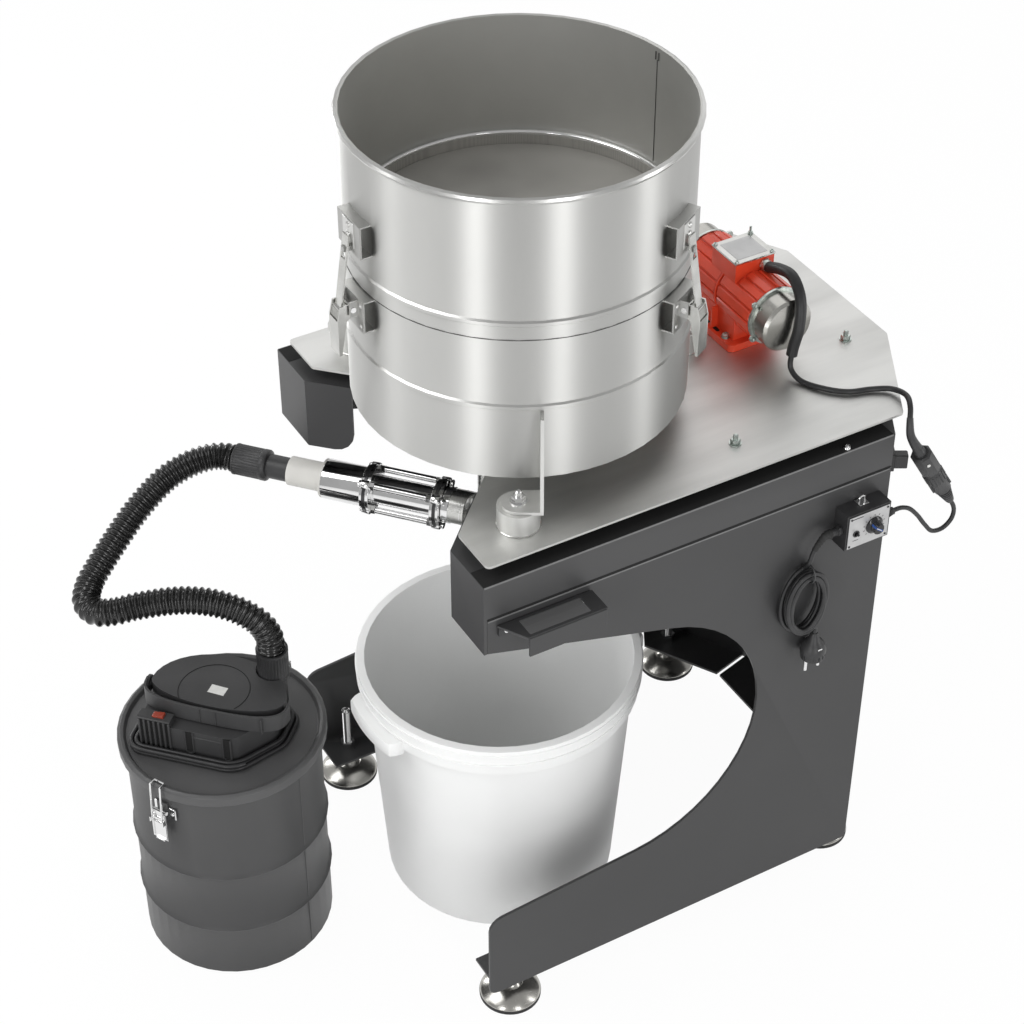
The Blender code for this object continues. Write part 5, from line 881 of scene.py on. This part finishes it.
def build_motor_details():
    back, height, lid_top = 0.3166, 0.8178, 0.8731
    axis = Matrix.Translation(sieve(0, back, height))
    parts = []
    for x in (-0.0232, 0.0232):
        for y in (back - 0.0257, back + 0.0257):
            parts.append(screw(sieve(x, y, lid_top), UP, 0.0028, 0.0024))
    parts += nut_and_stud(sieve(-0.0232, back + 0.0257, lid_top), UP, 0.003, 0.007, 0.0006)
    for x, y in ((-0.036, 0.2795), (0.026, 0.2795), (-0.036, 0.3537), (0.026, 0.3537)):
        place = sieve(x, y, 0.7697)
        parts += nut_and_stud(place, UP, 0.0046, 0.0, 0.001)[:2]
        parts.append(screw(place + Vector((0, 0, 0.0042)), UP, 0.0036, 0.0016))
    for sx in (-1, 1):
        for turn in (38, 142, 218, 322):
            angle = radians(turn)
            y, z = back + 0.0392 * cos(angle), height + 0.0392 * sin(angle)
            parts.append(screw(sieve(sx * 0.0752, y, z), (sx, 0, 0), 0.0028, 0.0028))
    piece("motor_screws", parts, "zinc")
    ribs = []
    for turn in (-62, -36, -12, 12, 36, 144, 168, 192, 216, 242):
        at = axis @ spin(radians(turn), "X")
        for low, high in ((-0.0705, -0.0022), (0.0022, 0.0705)):
            ribs.append(moved(soft_block((low, 0.034, -0.0068), (high, 0.0385, 0.0068), 0.0012), at))
    for turn in (56, 76, 104, 124):
        at = axis @ spin(radians(turn), "X")
        for low, high in ((-0.0705, -0.0285), (0.0285, 0.0705)):
            ribs.append(moved(soft_block((low, 0.034, -0.0056), (high, 0.0385, 0.0056), 0.0012), at))
    ridge = turned([(0.036, -0.0012), (0.0396, -0.0008), (0.0396, 0.0008), (0.036, 0.0012)], 40, closed=True)
    ribs.append(moved(ridge, axis @ spin(pi / 2, "Y")))
    for sy in (-1, 1):
        low, high = sorted((sy * 0.0325, sy * 0.042))
        at = Matrix.Translation(sieve(0, back, 0))
        ribs.append(moved(soft_block((-0.0016, low, 0.7695), (0.0016, high, 0.8), 0.0006), at))
    piece("motor_ribs", ribs, "red", "deck")
    # the motor foot's slots are flat discs of painted shade on the foot, not holes
    shaded_slots = []
    for x, y in ((-0.015, 0.279), (0.006, 0.279), (-0.015, 0.3542), (0.006, 0.3542)):
        points = []
        for k in range(16):
            turn = tau * k / 16
            shift = 0.003 if cos(turn) > 0 else -0.003
            points.append((x + shift + 0.0026 * cos(turn), y + 0.0026 * sin(turn)))
        shaded_slots.append(skin([[tuple(sieve(*p, 0.7695)) for p in points], [tuple(sieve(*p, 0.77)) for p in points]]))
    piece("motor_slot_shade", shaded_slots, "dark_shade", "deck")
    rings = []
    for sx in (-1, 1):
        place = along(sieve(sx * 0.0714, back, height), (sx, 0, 0))
        rings.append(moved(turned([(0.036, 0.0), (0.0388, 0.0006), (0.0388, 0.0036), (0.0358, 0.004)], 56), place))
        for turn in (38, 142, 218, 322):
            angle = radians(turn)
            out = Vector((0, cos(angle), sin(angle)))
            base = sieve(sx * 0.0714, back, height) + out * 0.0392
            rings.append(moved(turned([(0.004, 0.0), (0.0044, 0.0006), (0.0044, 0.003), (0.004, 0.0036)], 18),
                               along(base, (sx, 0, 0))))
    piece("cap_flanges", rings, "zinc")
    plate = soft_block((-0.0195, back - 0.0215, lid_top), (0.0195, back + 0.0215, lid_top + 0.0003), 0.0001)
    piece("blank_rating_plate", [plate], "face", at=SIEVE_AXIS)


def build_controller_details():
    face_x = 0.2865
    low_y, high_y, low_z, high_z = 0.2905, 0.3495, 0.6125, 0.66
    knob = sieve(face_x, 0.328, 0.637)
    toggle = sieve(face_x, 0.302, 0.633)
    front, rear = low_y + SIEVE_BACK, high_y + SIEVE_BACK
    hole = 0.0033

    def film(y0, y1, z0, z1, low=0.0, high=0.0003):
        return block((face_x + low, y0, z0), (face_x + high, y1, z1))

    plate = [film(front, rear, low_z, toggle.z - hole), film(front, rear, toggle.z + hole, high_z),
             film(front, toggle.y - hole, toggle.z - hole, toggle.z + hole),
             film(toggle.y + hole, rear, toggle.z - hole, toggle.z + hole)]
    piece("control_face", plate, "face", "stand")
    marks = []
    for angle in range(-135, 136, 27):
        at = Matrix.Translation(knob) @ spin(radians(angle), "X")
        marks.append(moved(block((0.0003, -0.0004, 0.0138), (0.00045, 0.0004, 0.016)), at))
    marks.append(film(toggle.y - 0.004, toggle.y + 0.004, toggle.z - 0.0105, toggle.z - 0.0098, 0.0003, 0.00045))
    marks.append(film(front + 0.004, front + 0.02, 0.656, 0.6572, 0.0003, 0.00045))
    piece("dial_marks", marks, "mark", "stand")
    corners = [screw(sieve(face_x + 0.0003, y, z), (1, 0, 0), 0.0015, 0.0009)
               for y in (low_y + 0.003, high_y - 0.003) for z in (low_z + 0.003, high_z - 0.003)]
    piece("face_screws", corners, "plastic", "stand")
    rings = []
    sides = 72
    for r, x, depth in ((0.012, 0.0005, 0), (0.012, 0.002, 0), (0.01, 0.0036, 0), (0.008, 0.0044, 0.0005),
                        (0.0074, 0.0112, 0.0005), (0.0066, 0.012, 0.0)):
        ring = []
        for i in range(sides):
            wave = depth * (1 if i % 6 in (0, 1, 2) else 0)
            turn = tau * i / sides
            ring.append((x, (r - wave) * cos(turn), (r - wave) * sin(turn)))
        rings.append(ring)
    at = Matrix.Translation(knob)
    piece("knob_body", [skin(rings)], "gloss", "knob", ["speed_knob"], at=at)
    at = Matrix.Translation(knob) @ spin(radians(52), "X")
    stripe = [block((0.0118, -0.0013, -0.0058), (0.0122, 0.0013, 0.0064)),
              block((0.004, -0.0013, 0.0066), (0.0118, 0.0013, 0.008))]
    piece("knob_stripe", stripe, "blue", "knob", at=at)
    # painted highlight: a light line down the middle of the blue stripe
    knob_highlight = [block((0.0121, -0.0005, -0.004), (0.01235, 0.0005, 0.006))]
    piece("knob_stripe_highlight", knob_highlight, "label", "knob", at=at)
    lever = [rod(toggle + Vector((-0.001, 0, 0.0003)), toggle + Vector((0.0062, 0, 0.0013)), 0.0017, 16, 0.0006)]
    piece("toggle_lever", lever, "gloss", "toggle", ["toggle_switch"])
    bush = turned([(0.0031, 0.0003), (0.0048, 0.0003), (0.0048, 0.001), (0.004, 0.0015), (0.0031, 0.0012)], 28,
                  closed=True)
    piece("toggle_bush", [bush], "plastic", "stand", at=along(toggle, (1, 0, 0)))
    ring = []
    for k in range(25):
        turn = pi * k / 24
        ring.append(sieve(0.269, 0.32 + 0.0042 * cos(turn), 0.668 + 0.0042 * sin(turn)))
    hanger = [tube([sieve(0.269, 0.3242, 0.6628)] + ring + [sieve(0.269, 0.3158, 0.6628)], 0.0013, 10),
              soft_block(tuple(sieve(0.263, 0.313, 0.6625)), tuple(sieve(0.275, 0.327, 0.6635)), 0.0003)]
    piece("box_hanger", hanger, "chrome", "stand")
    shapes = [hexagon(0.0068, 0, 0.0045)]
    for k in range(4):
        r, z = 0.0062 - 0.0005 * k, 0.005 + 0.0024 * k
        shapes.append(turned([(r - 0.001, z), (r, z + 0.0005), (r, z + 0.0013), (r - 0.001, z + 0.0018)], 20))
    ends = (along(sieve(0.274, 0.288, 0.636), (0, -1, 0)), along(sieve(0.274, 0.352, 0.634), (0, 1, 0)))
    glands = [moved(shape, at) for shape in shapes for at in ends]
    piece("control_glands", glands, "plastic", "stand")


def build_stand_details():
    bolts = [screw(sieve(side * 0.2643, y, 0.6735), (side, 0, 0), 0.004, 0.0028)
             for side in (-1, 1) for y in (-0.168, -0.066)]
    piece("handle_bolts", bolts, "chrome", "stand")
    # Along both sides of the frame: dark strips of painted shade and light strips of painted highlight.
    shade, highlight_strips = [], []
    for side in (-1, 1):
        for low, high, front, rear, parts, inner, outer in (
            # painted shadow on the frame's top, under the deck's overhang
            (0.742, 0.7424, -0.194, 0.364, shade, 0.23, 0.2604),
            # painted shade in the gap where the frame's skirt meets the side panel
            (0.6915, 0.695, -0.19, 0.364, shade, 0.2605, 0.2613),
            # painted highlight: a light line just below that gap
            (0.6893, 0.6913, -0.19, 0.364, highlight_strips, 0.2605, 0.2613),
            # painted highlight: a light line along the frame's top outer edge
            (0.7404, 0.7424, -0.194, 0.364, highlight_strips, 0.2604, 0.2613),
        ):
            x0, x1 = sorted((side * inner, side * outer))
            parts.append(block(tuple(sieve(x0, front, low)), tuple(sieve(x1, rear, high))))
    piece("frame_shade", shade, "dark_shade", "stand")
    piece("frame_edge_highlights", highlight_strips, "edge", "stand")


def build_feet_details():
    names = {"fr": ("front_right", 0.232, -0.145), "fl": ("front_left", -0.232, -0.145),
             "rr": ("rear_right", 0.195, 0.372), "rl": ("rear_left", -0.195, 0.372)}
    for short, (name, x, y) in names.items():
        at = Matrix.Translation(sieve(x, y, 0))
        base = [(0.0388, 0.0), (0.0402, 0.0015), (0.0404, 0.006), (0.04, 0.0072)]
        piece(f"foot_rubber_{name}", [turned(base, 48)], "rubber", f"foot_{short}", at=at)
        dome = [(0.04, 0.007), (0.0396, 0.0084), (0.037, 0.011), (0.032, 0.0145), (0.025, 0.0185),
                (0.0185, 0.0212), (0.017, 0.0218), (0.016, 0.0214), (0.013, 0.0232), (0.0105, 0.0262),
                (0.0092, 0.03), (0.0085, 0.033)]
        nuts = [hexagon(0.0112, 0.0405, 0.0486), hexagon(0.0112, 0.0533, 0.0635)]
        thread = [(0.0061, 0.033)]
        z = 0.0635
        while z < 0.12:
            thread += [(0.0059, z), (0.0064, z + 0.0007)]
            z += 0.0014
        thread += [(0.0056, 0.117), (0.0012, 0.122)]
        nuts.append(turned(thread, 20))
        piece(f"foot_dome_{name}", [turned(dome, 56)], "cap", f"foot_{short}", at=at)
        piece(f"foot_metal_{name}", nuts, "chrome", f"foot_{short}", [f"foot_{name}"], at=at)


def build_pipe_details():
    corners = [(cos(turn), sin(turn)) for turn in (pi / 4 + k * pi / 2 for k in range(4))]
    dark, bright = [], []
    for s, inward in ((0.1015, 1), (0.1955, -1)):
        dark.append(turned([(0.03, s - 0.0026), (0.0322, s - 0.002), (0.0322, s + 0.002), (0.03, s + 0.0026)], 40))
        for c, d in corners:
            at = Matrix.Translation((0.0265 * c, 0.0265 * d, 0))
            bright.append(moved(hexagon(0.0056, *sorted((s + inward * 0.006, s + inward * 0.0125))), at))
            z0, z1 = sorted((s - inward * 0.0062, s - inward * 0.01))
            end = turned([(0.005, z0), (0.0056, z0 + 0.001), (0.005, z1 - 0.001), (0.0025, z1)], 14)
            bright.append(moved(end, at))
    for s in (0.1015, 0.1955):
        lug = turned([(0.0066, s - 0.0054), (0.007, s - 0.0048), (0.007, s + 0.0048), (0.0066, s + 0.0054)], 22)
        bright += [moved(lug, Matrix.Translation((0.0268 * c, 0.0268 * d, 0))) for c, d in corners]
    for r, s0, s1 in ((0.0236, 0.0858, 0.0955), (0.0228, 0.07, 0.0712)):
        bright.append(turned([(r - 0.0012, s0), (r, s0 + 0.0004), (r, s1 - 0.0004), (r - 0.0012, s1)], 40))
    piece("pipe_clamps", dark, "black_chrome", at=PIPE_FRAME)
    piece("pipe_fasteners", bright, "chrome", at=PIPE_FRAME)
    rods = [rod((0.0265 * c, 0.0265 * d, 0.108), (0.0265 * c, 0.0265 * d, 0.189), 0.0044, 18) for c, d in corners]
    piece("tie_rods", rods, "chrome", at=PIPE_FRAME)
    lips = [turned([(0.0235, 0.201), (0.0265, 0.2014), (0.0265, 0.203), (0.0255, 0.2036)], 48)]
    piece("sleeve_lip", lips, "chrome", "deck", at=PIPE_FRAME)


def build_head_details():
    def place(shapes):
        return [moved(s, HEAD_FRAME) for s in shapes]

    ribs = []
    for k in range(7):
        u = -0.0868 + k * 0.0066
        ribs.append(soft_block((u, -0.0566, 0.339), (u + 0.003, -0.0538, 0.385), 0.0006))
    ribs.append(soft_block((-0.0885, -0.056, 0.385), (-0.044, -0.0395, 0.3878), 0.0008))
    piece("vent_ribs", place(ribs), "head", "stand")
    # painted shade: thin dark sheets in the vent slots and inside the two rims
    shaded_gaps = [block((-0.085, -0.0544, 0.34), (-0.0455, -0.0541, 0.3845))]
    rims = []
    for u in (-0.02, 0.03):
        path = []
        for k in range(25):
            turn = pi + pi * k / 24
            path.append((u + 0.0052 * cos(turn), -0.0545, 0.3465 + 0.0052 * sin(turn)))
        path = [(u - 0.0052, -0.0545, 0.377)] + path + [(u + 0.0052, -0.0545, 0.377)]
        rims.append(tube(path, 0.0012, 10))
        shaded_gaps.append(block((u - 0.0045, -0.0545, 0.345), (u + 0.0045, -0.0541, 0.3775)))
    rims.append(tube([(-0.0145, -0.0543, 0.37), (0.0245, -0.0543, 0.37)], 0.0008, 8))
    piece("head_recess_shade", place(shaded_gaps), "dark_shade", "stand")
    piece("head_rims", place(rims), "head", "stand")
    # the cover's groove is a thin line of painted shade
    shaded_groove = []
    for k in range(61):
        turn = radians(-36 + 252 * k / 60)
        shaded_groove.append((-0.005 + 0.045 * cos(turn), 0.045 * sin(turn), 0.4051))
    piece("cover_groove_shade", place([tube(shaded_groove, 0.0005, 8)]), "dark_shade", "stand")
    label = block((-0.011, -0.0072, 0.405), (0.011, 0.0072, 0.4053))
    lean = spin(radians(-4), "Z")
    piece("blank_label", place([moved(label, lean)]), "label", "stand")
    band = []
    for u in (-0.0105, 0.0105):
        band.append(soft_block((u - 0.0009, -0.0384, 0.3815), (u + 0.0009, -0.037, 0.4045), 0.0003))
    band.append(soft_block((0.07, -0.0372, 0.3815), (0.0715, -0.033, 0.4045), 0.0003))
    ring = [(0.006, 0), (0.0105, 0), (0.0115, 0.001), (0.0115, 0.004), (0.01, 0.005), (0.006, 0.005)]
    band.append(moved(turned(ring, 32, closed=True), along((-0.0905, 0.0, 0.393), (-1, 0, 0))))
    piece("band_details", place(band), "head", "vacuum_handle")
    pin = turned([(0.0048, 0), (0.0048, 0.003), (0.003, 0.004), (0.0, 0.004)], 20)
    pin = [moved(pin, along((-0.0905, 0, 0.393), (-1, 0, 0)))]
    piece("band_pin", place(pin), "chrome", "vacuum_handle")


def build_canister_details():
    seam = [block((0.1238, -0.0004, 0.006), (0.1243, 0.0004, 0.323))]
    at = upright(VACUUM, radians(25))
    piece("canister_seam", seam, "drum_paint", "stand", at=at)
    # a thin dark ring of painted shade where the lid meets the canister
    shaded_groove = turned([(0.1236, 0.3334), (0.1262, 0.3334), (0.1262, 0.3339), (0.1236, 0.3339)], 96, closed=True)
    piece("lid_groove_shade", [shaded_groove], "dark_shade", "stand", at=Matrix.Translation(VACUUM))
    for i, angle in enumerate((-62, 118)):
        at = upright(VACUUM, radians(angle))
        base = [soft_block((0.1236, -0.013, 0.284), (0.1262, -0.0082, 0.306), 0.0005),
                soft_block((0.1236, 0.0082, 0.284), (0.1262, 0.02, 0.301), 0.0005)]
        head = [(0.0026, 0), (0.0024, 0.0008), (0.0012, 0.0014), (0.0, 0.0016)]
        base.append(moved(turned(head, 16), along((0.1262, 0.015, 0.2925), (1, 0, 0))))
        piece(f"clip_base_{i + 1}", base, "chrome", "stand", at=at)
        lever = []
        for y in (-0.0098, 0.0098):
            lever.append(soft_block((0.135, y - 0.0009, 0.252), (0.1372, y + 0.0009, 0.296), 0.0004))
        lever.append(soft_block((0.1352, -0.007, 0.249), (0.1378, 0.007, 0.252), 0.0006))
        piece(f"clip_lever_edge_{i + 1}", lever, "chrome", ("clip_front", "clip_back")[i], at=at)


def build_bucket_details():
    grips = []
    for centre in (-88, 92):
        rings = []
        for k in range(25):
            share = k / 24
            angle = radians(centre - 17 + 34 * share)
            swell = min(1.0, min(share, 1 - share) / 0.1)
            swell = sin(swell * pi / 2)
            out, top, low = 0.1862 + 0.0145 * swell, 0.3375, 0.3165
            ring = []
            for r, z in ((0.1835, top), (out - 0.002, top), (out, top - 0.003), (out, low + 0.003),
                         (out - 0.001, low), (out - 0.004, low), (out - 0.0045, top - 0.005), (0.1835, top - 0.005)):
                ring.append((r * cos(angle), r * sin(angle), z))
            rings.append(ring)
        grips.append(skin(rings))
    rim = [(0.1835, 0.356), (0.1872, 0.357), (0.1872, 0.359), (0.1835, 0.36)]
    grips.append(turned(rim, 120, closed=True))
    rim = [(0.18, 0.34), (0.1862, 0.3408), (0.1862, 0.342), (0.18, 0.3428)]
    grips.append(turned(rim, 120, closed=True))
    piece("bucket_grips", grips, "white", "catch_bucket", at=Matrix.Translation(BUCKET))


camera()
surroundings()
build_suction_hose()
build_motor_cable()
build_control_cable()
build_mains_lead()
build_vacuum_flex()
finish_nodes()
build_cuffs()
build_drum_details()
build_motor_details()
build_controller_details()
build_stand_details()
build_feet_details()
build_pipe_details()
build_head_details()
build_canister_details()
build_bucket_details()
